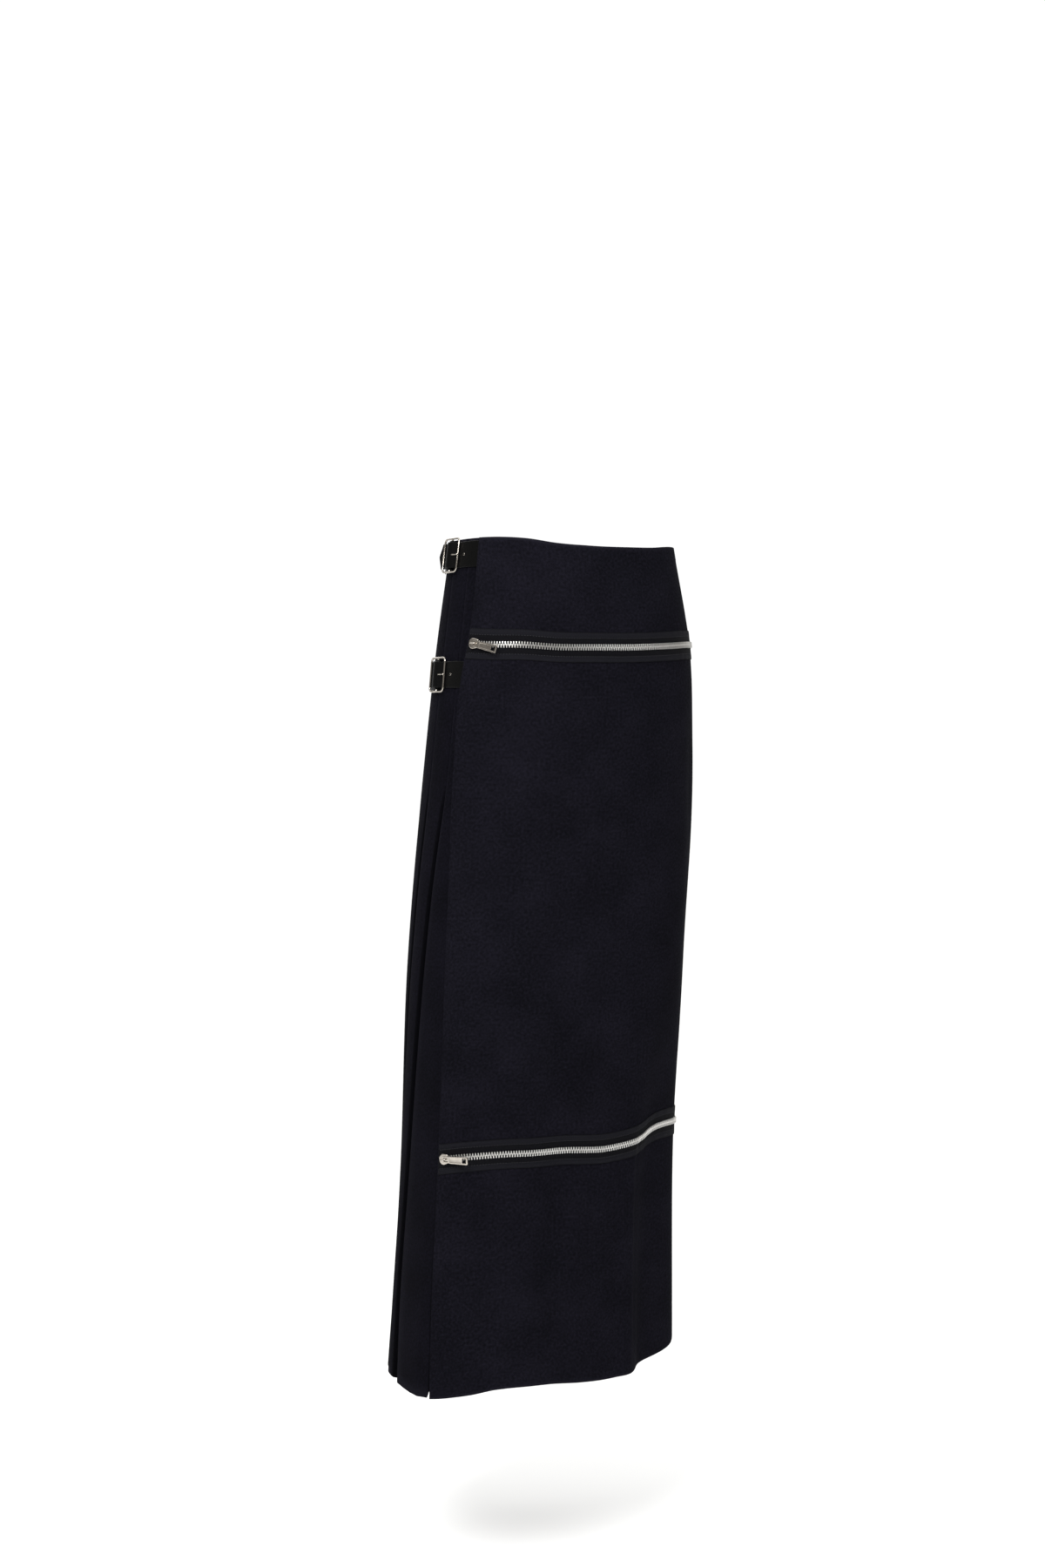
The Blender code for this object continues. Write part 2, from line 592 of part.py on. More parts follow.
def strap_and_buckle(strap):
    drop = strap.drop * MM
    edge = float(apron_edge(drop))
    middle_out = GAP + STRAP_THICK / 2
    tucked = heading_at(drop, edge, STRAP_TUCK)
    straight = heading_at(drop, edge, -strap.wrap * MM)
    frame = local_frame(drop, straight, middle_out, -1)
    first_bar = FRAME_START
    centre_bar = FRAME_START + FRAME_WIDTH / 2
    last_bar = FRAME_START + FRAME_WIDTH
    frame_out = STRAP_THICK / 2 + GAP + WIRE_RADIUS
    bar_out = frame_out - BAR_DIP
    strap_end = last_bar + WIRE_RADIUS + strap.tail_length * MM
    hump = bar_out + STRAP_HUMP

    def strap_height(x):
        """Distance of the strap's middle from the straight line that it leaves the cloth on."""
        if x <= first_bar or x >= last_bar:
            past = max(x - last_bar, 0) / (strap_end - last_bar)
            return -strap.tail_fall * MM * past**1.5
        return hump * 0.5 * (1 - cos(2 * pi * (x - first_bar) / FRAME_WIDTH))

    def place(x, y, z):
        return np.array(frame @ Vector((x, y, z)))

    rotation = np.array(frame.to_3x3())
    stations = list(np.linspace(first_bar, last_bar, 13)) + list(np.linspace(last_bar, strap_end, 5)[1:])
    rows = []
    for share in (0.5, 0.0, -0.5):
        row = []
        for heading in np.linspace(tucked, straight, 9):
            level = drop - share * STRAP_WIDTH
            point = surface(level, heading, middle_out)
            side = surface(level, heading, middle_out + MM) - point
            row.append((point, side / np.linalg.norm(side)))
        for x in stations:
            here = x - (STRAP_TIP_CUT * (x / strap_end) ** 12 if share else 0.0)
            slope = (strap_height(here + 0.1 * MM) - strap_height(here - 0.1 * MM)) / (0.2 * MM)
            side = rotation @ np.array([-slope, 0, 1])
            row.append((place(here, share * STRAP_WIDTH, strap_height(here)), side / np.linalg.norm(side)))
        rows.append(row)
    leather = band(strap.name + "_strap", rows, STRAP_THICK, LEATHER)
    slot_ends = [centre_bar + x for x in PRONG_SLOT]
    prong_slot = block(strap.name + "_prong_slot", slot_ends, (-HOLE_RADIUS, HOLE_RADIUS),
                       (-STRAP_THICK, hump + STRAP_THICK), frame)
    combine(leather, prong_slot, "DIFFERENCE")
    rim = arc((-SPARE_HOLE_INSET, 0), HOLE_RADIUS, 0, 330, 12)
    spare = prism(strap.name + "_spare_hole", rim, -2 * STRAP_THICK, 2 * STRAP_THICK, None, frame)
    combine(leather, spare, "DIFFERENCE")

    half_height = FRAME_HEIGHT / 2
    r = FRAME_CORNER
    outline = arc((last_bar - r, half_height - r), r, 0, 90, 5)
    outline += arc((first_bar + r, half_height - r), r, 90, 180, 5)
    outline += arc((first_bar + r, r - half_height), r, 180, 270, 5)
    outline += arc((last_bar - r, r - half_height), r, 270, 360, 5)
    ring = tube(strap.name + "_buckle_frame", [(x, y, frame_out) for x, y in outline], WIRE_RADIUS,
                (0, 0, 1), NICKEL, frame, closed=True)
    bar_path = [(half_height, frame_out), (half_height - BAR_BEND[0], frame_out),
                (half_height - BAR_BEND[1], bar_out)]
    bar_path += [(-y, z) for y, z in reversed(bar_path)]
    bar = tube(strap.name + "_centre_bar", [(centre_bar, y, z) for y, z in bar_path], BAR_RADIUS,
               (1, 0, 0), None, frame)
    combine(ring, bar, "UNION")

    wrap = BAR_RADIUS + GAP + PRONG_RADIUS
    prong_path = arc((centre_bar, bar_out), wrap, -110, 75, 9)
    rest = frame_out + WIRE_RADIUS + GAP + PRONG_RADIUS
    prong_path += [(centre_bar - 6 * MM, bar_out + wrap + 1.3 * MM), (first_bar, rest),
                   (first_bar - PRONG_OVERHANG, rest - 0.1 * MM)]
    tube(strap.name + "_buckle_prong", [(x, 0, z) for x, z in prong_path], PRONG_RADIUS,
         (0, 1, 0), NICKEL, frame)

    buckle_tab(strap, frame, straight, drop, centre_bar, bar_out)


def buckle_tab(strap, frame, straight, drop, centre_bar, bar_out):
    """The leather loop that holds the centre bar; its long end lies on the pleats under the tail."""
    inverse = frame.inverted()
    sides = [inverse @ Vector(surface(drop + y, heading, 0.0))
             for heading in np.arange(straight + 10, straight - 60, -1.0)
             for y in (-STRAP_WIDTH / 2, 0.0, STRAP_WIDTH / 2)]
    reach = np.array([[p.x, p.z] for p in sides]).reshape(-1, 3, 2)

    def cloth(x):
        """Height of the pleats' own outside under the tab."""
        return float(np.interp(x, reach[:, 1, 0], reach.max(axis=1)[:, 1]))

    loop = BAR_RADIUS + GAP + TAB_THICK / 2
    half = TAB_THICK / 2
    path = []
    for x in np.linspace(centre_bar + TAB_LONG_END, centre_bar + 12 * MM, 8):
        path.append((x, cloth(x) + half + TAB_LIFT))
    root = centre_bar + 5 * MM
    path.append((root, max(bar_out - loop - 1.2 * MM, cloth(root) + half + TAB_LIFT)))
    path += arc((centre_bar, bar_out), loop, -80, -250, 9)
    path.append((centre_bar + 4 * MM, bar_out + loop - 1.0 * MM))
    path.append((centre_bar + TAB_SHORT_END, bar_out + loop - 2.2 * MM))
    path = np.array(path)
    step = np.gradient(path, axis=0)
    step /= np.linalg.norm(step, axis=1, keepdims=True)
    side = np.stack([step[:, 1], -step[:, 0]], -1)
    rotation = np.array(frame.to_3x3())
    rows = []
    for share in (0.5, -0.5):
        rows.append([(np.array(frame @ Vector((x, share * (STRAP_WIDTH - 1 * MM), z))),
                      rotation @ np.array([a, 0, b])) for (x, z), (a, b) in zip(path, side)])
    tab = band(strap.name + "_buckle_tab", rows, TAB_THICK, LEATHER)
    notch_ends = [centre_bar + x for x in TAB_NOTCH]
    notch = block(strap.name + "_tab_notch", notch_ends, (-TAB_NOTCH_HALF, TAB_NOTCH_HALF),
                  (bar_out - 2 * loop, bar_out + 2 * loop), frame)
    combine(tab, notch, "DIFFERENCE")


def build():
    for thing in list(bpy.data.objects):
        bpy.data.objects.remove(thing, do_unlink=True)
    apron_panel("apron_upper_panel", UPPER_PANEL_DROPS, 0, GAP / 2)
    apron_panel("apron_middle_panel", MIDDLE_PANEL_DROPS, GAP / 2, GAP / 2)
    apron_panel("apron_lower_panel", LOWER_PANEL_DROPS, GAP / 2, 0)
    under_apron()
    pleated_back()
    zip_fastener("upper", UPPER_ZIP_DROP)
    zip_fastener("lower", LOWER_ZIP_DROP)
    for strap in STRAPS:
        strap_and_buckle(strap)


build()
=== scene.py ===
"""The dressed model of a long pleated wrap kilt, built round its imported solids.

Metres, +Z up, origin at the centre of the waist ring. A heading is an angle round the garment seen from
above: 0 left side seam, 90 centre back, 180 right hip, 270 centre front. A drop is a distance below the
waist edge. The forms of the cloth repeat the sizes that its solids are made from.
"""

from collections import namedtuple
from math import cos, pi, radians, sin

import bmesh
import bpy
import numpy as np
from mathutils import Matrix, Vector


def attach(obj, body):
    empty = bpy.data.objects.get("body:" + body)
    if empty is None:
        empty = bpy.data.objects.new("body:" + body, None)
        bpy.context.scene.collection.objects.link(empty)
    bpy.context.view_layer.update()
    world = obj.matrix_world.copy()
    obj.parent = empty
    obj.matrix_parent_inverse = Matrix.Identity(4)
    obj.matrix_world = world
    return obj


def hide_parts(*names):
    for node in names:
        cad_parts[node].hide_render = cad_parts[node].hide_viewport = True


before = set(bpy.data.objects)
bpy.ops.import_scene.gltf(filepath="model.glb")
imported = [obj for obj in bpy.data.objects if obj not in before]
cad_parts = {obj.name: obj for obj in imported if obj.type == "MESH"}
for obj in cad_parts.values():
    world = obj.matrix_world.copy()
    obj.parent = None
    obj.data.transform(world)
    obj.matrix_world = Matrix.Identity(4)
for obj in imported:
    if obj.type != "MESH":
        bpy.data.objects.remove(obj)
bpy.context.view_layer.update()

MM = 0.001

# ---------------------------------------------------------------- sizes shared with the solids
GAP = 0.3 * MM
LENGTH = 948 * MM
UPPER_ZIP_DROP = 116.5 * MM
LOWER_ZIP_DROP = 684.5 * MM
SIDE_SEAM = 362.0
TAPE_INSET = 2.0 * MM
SLIDER_INSET = 11.5 * MM
SLIDER_LENGTH = 12.0 * MM
SLIDER_BASE = 1.5 * MM
SLIDER_THICK = 3.2 * MM
SLIDER_SHOULDER = 6.0 * MM
SLIDER_NOSE = 3.7 * MM
SLIDER_MOUTH = 4.7 * MM
BRIDGE_WIDTH = 1.8 * MM
BRIDGE_HALF_LENGTH = 4.0 * MM
BRIDGE_HEIGHT = 3.3 * MM
BRIDGE_STOCK = 1.2 * MM
PULL_THICK = 1.3 * MM
PULL_DROOP = radians(9)
PULL_TILT = radians(2)
PIVOT_HEIGHT = SLIDER_BASE + SLIDER_THICK + 1.05 * MM
STRAP_WIDTH = 28 * MM
STRAP_THICK = 1.8 * MM
STRAP_TUCK = 14 * MM
STRAP_TIP_CUT = 5 * MM
SPARE_HOLE_INSET = 8 * MM
HOLE_RADIUS = 1.5 * MM
PRONG_SLOT = (-9 * MM, 0.5 * MM)
TAB_THICK = 1.2 * MM
TAB_LIFT = 4 * GAP
TAB_LONG_END, TAB_SHORT_END = 34 * MM, 7 * MM
TAB_NOTCH = (-5 * MM, 3.2 * MM)
TAB_NOTCH_HALF = 1.9 * MM
WIRE_RADIUS = 1.5 * MM
BAR_RADIUS = 1.2 * MM
PRONG_RADIUS = 0.8 * MM
FRAME_WIDTH = 29 * MM
FRAME_HEIGHT = 37 * MM
FRAME_CORNER = 4 * MM
FRAME_START = 3 * MM
BAR_DIP = 1.5 * MM
BAR_BEND = (1.2 * MM, 2.8 * MM)
PRONG_OVERHANG = 2.6 * MM
STRAP_HUMP = BAR_RADIUS + 2 * PRONG_RADIUS + STRAP_THICK / 2 + 3 * GAP
SOLID_CLOTH = 1.4 * MM
EDGE_LIFT = STRAP_THICK + 3 * GAP + SOLID_CLOTH
LIFT_START, LIFT_END = 204.0, 250.0

# Plan sections of the body from the waist down, in mm; front_square is how square the front is (2: ellipse).
Section = namedtuple("Section", "drop half_width front_depth back_depth centre_x centre_y front_square")
SECTIONS = (
    Section(0, 134.5, 96, 98, -1, 5, 2.25),
    Section(120, 151, 107, 118, -0.5, 3.5, 2.4),
    Section(235, 161, 109.5, 130, -0.5, 7, 2.2),
    Section(480, 160.5, 110.5, 150, -11, 22, 2.8),
    Section(700, 159.5, 99, 160, -11.5, 34.5, 2.7),
    Section(950, 170, 102.5, 178, -10, 41.5, 2.1),
)
BACK_SQUARE = 2.2

# How far the cloth hangs above its level line at the waist, the two zips and the hem, by heading; mm.
Hang = namedtuple("Hang", "heading waist upper_zip lower_zip hem")
HANGS = (
    Hang(0, 0, 6, 16, 38),
    Hang(50, 0, 3, 9, 15),
    Hang(90, 0, 0, 2, 4),
    Hang(150, 3, 2, 0, 0),
    Hang(190, 5, 4, -3.5, -7.5),
    Hang(205, 5, 1.5, 3.5, -0.5),
    Hang(219, 3, 1, 6.5, 6.5),
    Hang(232, -1, -1, 6, 7.5),
    Hang(255, -3.5, -1, 5.5, 6),
    Hang(285, -3.5, 0, 3.5, 4),
    Hang(308, -2, 2.5, 9.5, 6),
    Hang(325, 1, 5, 19.5, 11.5),
    Hang(360, 0, 6, 16, 38),
)

# Folds that the wrap falls into: half their width in degrees, where they start and are full, and depth; mm.
Fold = namedtuple("Fold", "heading half_angle start_drop full_drop depth")
FOLDS = (
    Fold(321.5, 19.5, 470, 830, 15.5),
    Fold(299.5, 8, 560, 900, -2),
    Fold(248, 16, 140, 420, 3),
    Fold(213, 8, 640, 760, 2.5),
)

# The headings of the apron's free edge and of the first pleat's fold, from the waist (mm) down.
EdgeLine = namedtuple("EdgeLine", "drop apron_edge first_fold")
EDGE_LINES = (
    EdgeLine(0, 194.8, 187.5),
    EdgeLine(90, 194.8, 188.3),
    EdgeLine(170, 191.3, 187.5),
    EdgeLine(285, 191.2, 186.0),
    EdgeLine(385, 193.8, 181.8),
    EdgeLine(525, 195.0, 176.8),
    EdgeLine(700, 193.0, 169.5),
    EdgeLine(850, 191.6, 165.2),
    EdgeLine(950, 191.4, 166.0),
)

PLEAT_COUNT = 13
MOST_UNDERLAY = 0.5                  # of a pleat's face
PLEAT_CLOTH = 72 * MM                # the cloth that one pleat takes up
SEAM_SETBACK = 0.12                  # degrees by which the pleated cloth stays off its seams
SOLID_COLUMNS = 41                   # of the apron's solids, from its edge to the side seam
UNDER_START, UNDER_END = 3, 36       # the columns between which the under-apron lies

# How far a strap is wrapped from the apron's edge, how far its tip passes the frame, and its tip's fall; mm.
Strap = namedtuple("Strap", "name drop wrap tail_length tail_fall")
STRAPS = (
    Strap("waist", 17.5, 31, 12, 0),
    Strap("hip", 151, 30, 8, 3),
)

# ---------------------------------------------------------------- sizes of the finer pieces
CLOTH = 1.1 * MM                     # the wool itself; its solids are a little thicker
TURNING = 0.7 * MM                   # added inside a hem, where the cloth is turned up
TURNING_STEP = 1.5 * MM
HEM_DEPTH = 42 * MM
WAIST_FACING = 15 * MM               # the strip turned in along the waist
APRON_WIDTH = 420 * MM
TOOTH_PITCH = 3.0 * MM               # along one side of the zip
TAPE_CLOTH = 0.6 * MM
THREAD = 0.26 * MM                   # radius of the sewing thread
FRAME_WIRE = 1.1 * MM                # radius of a buckle frame's wire
BAND_WIDTH = 29.2 * MM               # a strap's leather
TAB_WIDTH = 33.6 * MM                # a tab's leather, which fills the frame
EYELET_WIRE = 0.22 * MM
PRONG_TIP = (1.1, 1.35, 1.42, 1.2, 0.5)                # the ball at its tip, as shares of its radius
CORNER_LIFT = 8.0 * MM               # of the first pleat's hem beside the apron's edge
CORNER_WIDTH = 3.4                   # mm
LAYER_PITCH = 1.35 * MM              # between two layers of a pressed pleat

# How each pleat opens under its fold, in mm: how deep its underlay lies, how far the next face starts
# behind the fold, the slot that is left between them, and how strong the shade painted in it is (0-1).
Opening = namedtuple("Opening", "drop depth recess slot shade")
OPENINGS = (
    Opening(0, 2.7, 1.5, 2.0, 0.1),
    Opening(274, 2.7, 1.5, 2.0, 0.1),
    Opening(296, 4.5, 4, 4.0, 0.9),
    Opening(400, 10, 8, 7.0, 1.0),
    Opening(700, 16, 12, 12, 1.0),
    Opening(950, 20, 14, 17, 1.0),
)

# Creases of the apron as soft uneven ridges (+) and troughs (-), from the top end to the bottom end; mm.
Crease = namedtuple("Crease", "top_heading top_drop end_heading end_drop half_width height")
CREASES = (
    Crease(305.4, 660, 303.0, 960, 3.0, 0.9),
    Crease(308.5, 640, 306.5, 960, 6.0, -0.9),
    Crease(234.0, 8, 236.0, 104, 4.0, -0.45),
    Crease(238.5, 20, 240.0, 110, 7.0, 0.3),
    Crease(227.0, 134, 225.2, 330, 3.5, -0.5),
    Crease(223.5, 140, 222.0, 380, 8.0, 0.45),
    Crease(208.8, 700, 209.4, 800, 3.5, -0.5),
    Crease(212.0, 705, 211.0, 860, 9.0, 0.5),
    Crease(262.0, 250, 268.0, 620, 16.0, -0.9),
    Crease(245.0, 420, 240.0, 668, 14.0, 0.8),
    Crease(288.0, 170, 284.0, 540, 18.0, -0.8),
    Crease(276.0, 720, 272.0, 930, 13.0, -0.8),
    Crease(240.0, 730, 236.0, 940, 15.0, 0.7),
    Crease(331.0, 150, 335.0, 600, 15.0, -1.2),
    Crease(346.0, 300, 348.0, 930, 12.0, 1.0),
)

# The worn apron's relief beside its creases; mm.
CREASE_WANDER = 1.4
SHORT_WAVE, LONG_WAVE = 0.28, 0.20
PUCKER = 0.16                        # along the zips' stitching
FACING_STEP = 0.3                    # where the waist facing lies behind it
HEM_DENT = 0.14                      # where the hem's stitches draw it in
PRESSED_EDGE = 12                    # from the free edge, the width that stays flat

CENTRE_FRONT = 270
TANGENT_TURN = 0.4                   # degrees to each side, for a tangent
WALK_STEP, WALK_COUNT = 0.25, 900    # degrees, and how many steps a walk round the body may take
LAYOUT_DROP = 500 * MM               # where distances round the body are measured


# ---------------------------------------------------------------- forms
def smooth(x, knots, values):
    """A cubic curve through the knots, level past its two ends."""
    knots = np.asarray(knots, float)
    values = np.asarray(values, float)
    slopes = np.gradient(values, knots)
    x = np.clip(x, knots[0], knots[-1])
    k = np.clip(np.searchsorted(knots, x, side="right") - 1, 0, len(knots) - 2)
    span = knots[k + 1] - knots[k]
    u = (x - knots[k]) / span
    return (
        (2 * u**3 - 3 * u**2 + 1) * values[k]
        + (u**3 - 2 * u**2 + u) * span * slopes[k]
        + (3 * u**2 - 2 * u**3) * values[k + 1]
        + (u**3 - u**2) * span * slopes[k + 1]
    )


def ease(u):
    u = np.clip(u, 0.0, 1.0)
    return u * u * (3 - 2 * u)


def bell(x, width):
    """1 at 0, falling smoothly to nothing at about twice the width."""
    return np.exp(-(x / width) ** 2)


def run_along(points):
    """Distance from a line's first point to each of its points."""
    return np.concatenate([[0], np.cumsum(np.linalg.norm(np.diff(points, axis=0), axis=1))])


def unit(vectors):
    return vectors / np.linalg.norm(vectors, axis=-1, keepdims=True)


def column(rows, name, scale=MM):
    return [getattr(row, name) * scale for row in rows]


SECTION_DROPS = column(SECTIONS, "drop")
EDGE_DROPS = column(EDGE_LINES, "drop")


def section(drop, name):
    scale = 1.0 if name == "front_square" else MM
    return smooth(drop, SECTION_DROPS, column(SECTIONS, name, scale))


def apron_edge(drop):
    return smooth(drop, EDGE_DROPS, column(EDGE_LINES, "apron_edge", 1.0))


def first_fold(drop):
    return smooth(drop, EDGE_DROPS, column(EDGE_LINES, "first_fold", 1.0))


def hang(drop, heading):
    """Height of the cloth above its level line."""
    levels = (0, UPPER_ZIP_DROP, LOWER_ZIP_DROP, LENGTH)
    headings = column(HANGS, "heading", 1.0)
    around = np.mod(heading, 360.0)
    lines = [smooth(around, headings, column(HANGS, name)) for name in Hang._fields[1:]]
    drop = np.broadcast_to(drop, np.shape(lines[0]))
    k = np.clip(np.searchsorted(levels, drop, side="right") - 1, 0, len(levels) - 2)
    low, high = np.choose(k, lines[:-1]), np.choose(k, lines[1:])
    start, end = np.choose(k, levels[:-1]), np.choose(k, levels[1:])
    return low + (high - low) * (drop - start) / (end - start)


def plan(drop, heading):
    """The skirt's outside seen from above."""
    turn = np.radians(heading)
    c, s = np.cos(turn), np.sin(turn)
    depth = np.where(s < 0, section(drop, "front_depth"), section(drop, "back_depth"))
    square = np.where(s < 0, section(drop, "front_square"), BACK_SQUARE)
    width = section(drop, "half_width")
    radius = (abs(c / width) ** square + abs(s / depth) ** square) ** (-1 / square)
    for fold in FOLDS:
        away = np.clip((np.mod(heading, 360.0) - fold.heading) / fold.half_angle, -1, 1)
        ramp = ease((drop - fold.start_drop * MM) / ((fold.full_drop - fold.start_drop) * MM))
        radius = radius - fold.depth * MM * ramp * 0.5 * (1 + np.cos(pi * away))
    return np.stack([section(drop, "centre_x") + radius * c, section(drop, "centre_y") + radius * s], -1)


def surface(drop, heading, out=0.0):
    """Points on the skirt's outside, moved out along the outward normal."""
    drop, heading, out = np.broadcast_arrays(
        np.asarray(drop, float), np.asarray(heading, float), np.asarray(out, float))
    along = unit(plan(drop, heading + TANGENT_TURN) - plan(drop, heading - TANGENT_TURN))
    normal = np.stack([along[..., 1], -along[..., 0]], -1)
    flat = plan(drop, heading) + normal * out[..., None]
    return np.concatenate([flat, (hang(drop, heading) - drop)[..., None]], -1)


def apron_out(heading):
    """How far the apron's outer face stands off the skirt's own outside."""
    return EDGE_LIFT * (1 - ease((heading - LIFT_START) / (LIFT_END - LIFT_START)))


def walk(drop, start_heading, distance):
    """The heading reached from a start heading after each distance round the outside."""
    step = WALK_STEP if np.max(distance) > 0 else -WALK_STEP
    headings = start_heading + step * np.arange(WALK_COUNT)
    return np.interp(np.abs(distance), run_along(plan(drop, headings)), headings)


ROUND_HEADINGS = np.arange(0, 363, 0.5)
ROUND_MM = run_along(plan(LAYOUT_DROP, ROUND_HEADINGS)) / MM


def round_mm(heading):
    """Distance round the body in mm, the same at every drop, for laying out creases."""
    return np.interp(heading, ROUND_HEADINGS, ROUND_MM)


def crease_line(crease, drop):
    """A crease's share run at each drop (mm), and how far round the body (mm) it lies there."""
    along = (drop - crease.top_drop) / (crease.end_drop - crease.top_drop)
    turned = (crease.end_heading - crease.top_heading) * np.clip(along, 0, 1)
    return along, round_mm(crease.top_heading + turned)


def relief(drop, heading):
    """How far the worn apron stands out from its smooth form: creases, slow unevenness and seam puckers."""
    drop, heading = np.broadcast_arrays(np.asarray(drop, float) / MM, np.asarray(heading, float))
    x = round_mm(heading)
    height = 0
    for crease in CREASES:
        along, centre = crease_line(crease, drop)
        centre = centre + CREASE_WANDER * np.sin(drop / 37 + crease.half_width)
        width = crease.half_width * (1 + 0.25 * np.sin(drop / 53 + crease.top_drop))
        ends = ease(along / 0.2) * ease((1 - along) / 0.3)
        height = height + crease.height * ends * bell(x - centre, width)
    height = height + SHORT_WAVE * np.sin(x / 21 + 0.9 * np.sin(drop / 83)) * np.sin(drop / 64 + 0.7)
    height = height + LONG_WAVE * np.sin(x / 47 + drop / 95 + 2.0)
    pucker = PUCKER * np.sin(x / 2.6 + 1.3 * np.sin(x / 17) + 0.8 * np.sin(x / 41))
    for zip_drop in (UPPER_ZIP_DROP / MM, LOWER_ZIP_DROP / MM):
        away = abs(drop - zip_drop)
        height = height + pucker * np.exp(-np.clip(away - 17, 0, None) / 7) * ease((away - 5) / 11)
    height = height + FACING_STEP * ease((WAIST_FACING / MM + 2 - drop) / 3.5)
    height = height - HEM_DENT * bell(drop - (LENGTH - HEM_DEPTH) / MM, 1.6)
    from_edge = x - round_mm(apron_edge(drop * MM))
    return height * MM * (0.06 + 0.94 * ease((from_edge - PRESSED_EDGE) / 34))


# ---------------------------------------------------------------- meshes
RIM_STEPS = np.array([0.0, 0.05, 0.2, 0.5, 1.0])     # shares of a rounded rim's reach


def stations(start, end, count, reach):
    """Even stations, with closer ones by both ends, where the rim is rounded."""
    close = reach * RIM_STEPS
    even = np.linspace(start + 2.2 * reach, end - 2.2 * reach, count)
    return np.concatenate([start + close, even, end - close[::-1]])


def rim(x, reach):
    """1 over most of a sheet, falling in a quarter circle to 0 at its two ends."""
    near = np.minimum(abs(x - x[0]), abs(x[-1] - x)) / reach
    return np.sqrt(1 - (1 - np.clip(near, 0, 1)) ** 2)


def grid_normals(points):
    return unit(np.cross(np.gradient(points, axis=0), np.gradient(points, axis=1)))


def new_object(name, points, faces, material):
    mesh = bpy.data.meshes.new(name)
    mesh.from_pydata(np.asarray(points, float).tolist(), [], faces)
    mesh.shade_smooth()
    thing = bpy.data.objects.new(name, mesh)
    bpy.context.scene.collection.objects.link(thing)
    if material is not None:
        mesh.materials.append(material)
    return thing


def shell(name, middle, outward, half, cut, material, rub=0.0):
    """A closed sheet, half a thickness to each side of a grid of points; rows go down, columns round.

    cut is each point's place on the flat cloth in metres. The last argument is a tone painted on the colour:
    above 0 paler, for wear and, on the wool, also a painted highlight; below 0 darker, a painted shade.
    """
    rows, columns = middle.shape[:2]
    count = rows * columns
    step = outward * half[..., None]
    points = np.concatenate([(middle + step).reshape(-1, 3), (middle - step).reshape(-1, 3)])
    outer = np.arange(count).reshape(rows, columns)
    inner = outer + count
    for edge in (np.s_[0, :], np.s_[-1, :], np.s_[:, 0], np.s_[:, -1]):
        inner[edge] = outer[edge]

    def quads(index, order):
        corners = {"a": index[:-1, :-1], "b": index[:-1, 1:], "c": index[1:, 1:], "d": index[1:, :-1]}
        return np.stack([corners[k] for k in order], -1).reshape(-1, 4)

    faces = np.concatenate([quads(outer, "adcb"), quads(inner, "abcd")])
    used, faces = np.unique(faces, return_inverse=True)
    faces = faces.reshape(-1, 4)
    thing = new_object(name, points[used], faces.tolist(), material)
    place = np.concatenate([cut.reshape(-1, 2)] * 2)[used]
    layer = thing.data.uv_layers.new(name="cut")
    layer.data.foreach_set("uv", place[faces.ravel()].ravel())
    wear_and_painted_light_layer = thing.data.attributes.new("rub", "FLOAT", "POINT")
    rub = np.broadcast_to(rub, (rows, columns)).ravel()
    wear_and_painted_light_layer.data.foreach_set("value", np.concatenate([rub, rub])[used].astype(np.float32))
    return thing


def loft(rings, closed=False):
    """The faces through rings of points, which are capped, or joined end to start where it is closed."""
    count, sides = len(rings), len(rings[0])
    faces = []
    for k in range(count if closed else count - 1):
        a, b = k * sides, (k + 1) % count * sides
        faces += [(a + j, a + (j + 1) % sides, b + (j + 1) % sides, b + j) for j in range(sides)]
    if not closed:
        faces += [tuple(reversed(range(sides))), tuple(range((count - 1) * sides, count * sides))]
    return faces


def many(name, template_points, template_faces, places, material):
    """One mesh of a small shape repeated at each (origin, x, y, z) place."""
    template_points = np.asarray(template_points, float)
    points = [origin + template_points @ np.array([x, y, z]) for origin, x, y, z in places]
    size = len(template_points)
    faces = [tuple(k * size + v for v in face) for k in range(len(places)) for face in template_faces]
    return new_object(name, np.concatenate(points), faces, material)


def join(name, things):
    """Several objects' meshes in one."""
    gathered = bmesh.new()
    for thing in things:
        gathered.from_mesh(thing.data)
    mesh = bpy.data.meshes.new(name)
    gathered.to_mesh(mesh)
    gathered.free()
    mesh.materials.append(things[0].data.materials[0])
    for thing in things:
        bpy.data.objects.remove(thing)
    whole = bpy.data.objects.new(name, mesh)
    bpy.context.scene.collection.objects.link(whole)
    return whole


def combine(thing, other, operation):
    modifier = thing.modifiers.new(operation.lower(), "BOOLEAN")
    modifier.operation = operation
    modifier.solver = "EXACT"
    modifier.object = other


def soften(thing, width, segments, angle):
    """Rounds the hard edges, as tumbling and plating do."""
    modifier = thing.modifiers.new("soften", "BEVEL")
    modifier.width = width
    modifier.segments = segments
    modifier.limit_method = "ANGLE"
    modifier.angle_limit = radians(angle)


def finish_shape(thing, sharp_angle):
    """Leaves the finished mesh on the object, with the pieces that cut or joined it gone."""
    helpers = {m.object for m in thing.modifiers if getattr(m, "object", None)}
    graph = bpy.context.evaluated_depsgraph_get()
    mesh = bpy.data.meshes.new_from_object(thing.evaluated_get(graph), depsgraph=graph)
    thing.modifiers.clear()
    thing.data = mesh
    for helper in helpers:
        bpy.data.objects.remove(helper)
    mesh.shade_smooth()
    mesh.set_sharp_from_angle(angle=radians(sharp_angle))


def settle(piece, node=None, body="garment"):
    """The piece moves with a body and, where a node is given, stands for that solid."""
    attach(piece, body)
    if node:
        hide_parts(node)


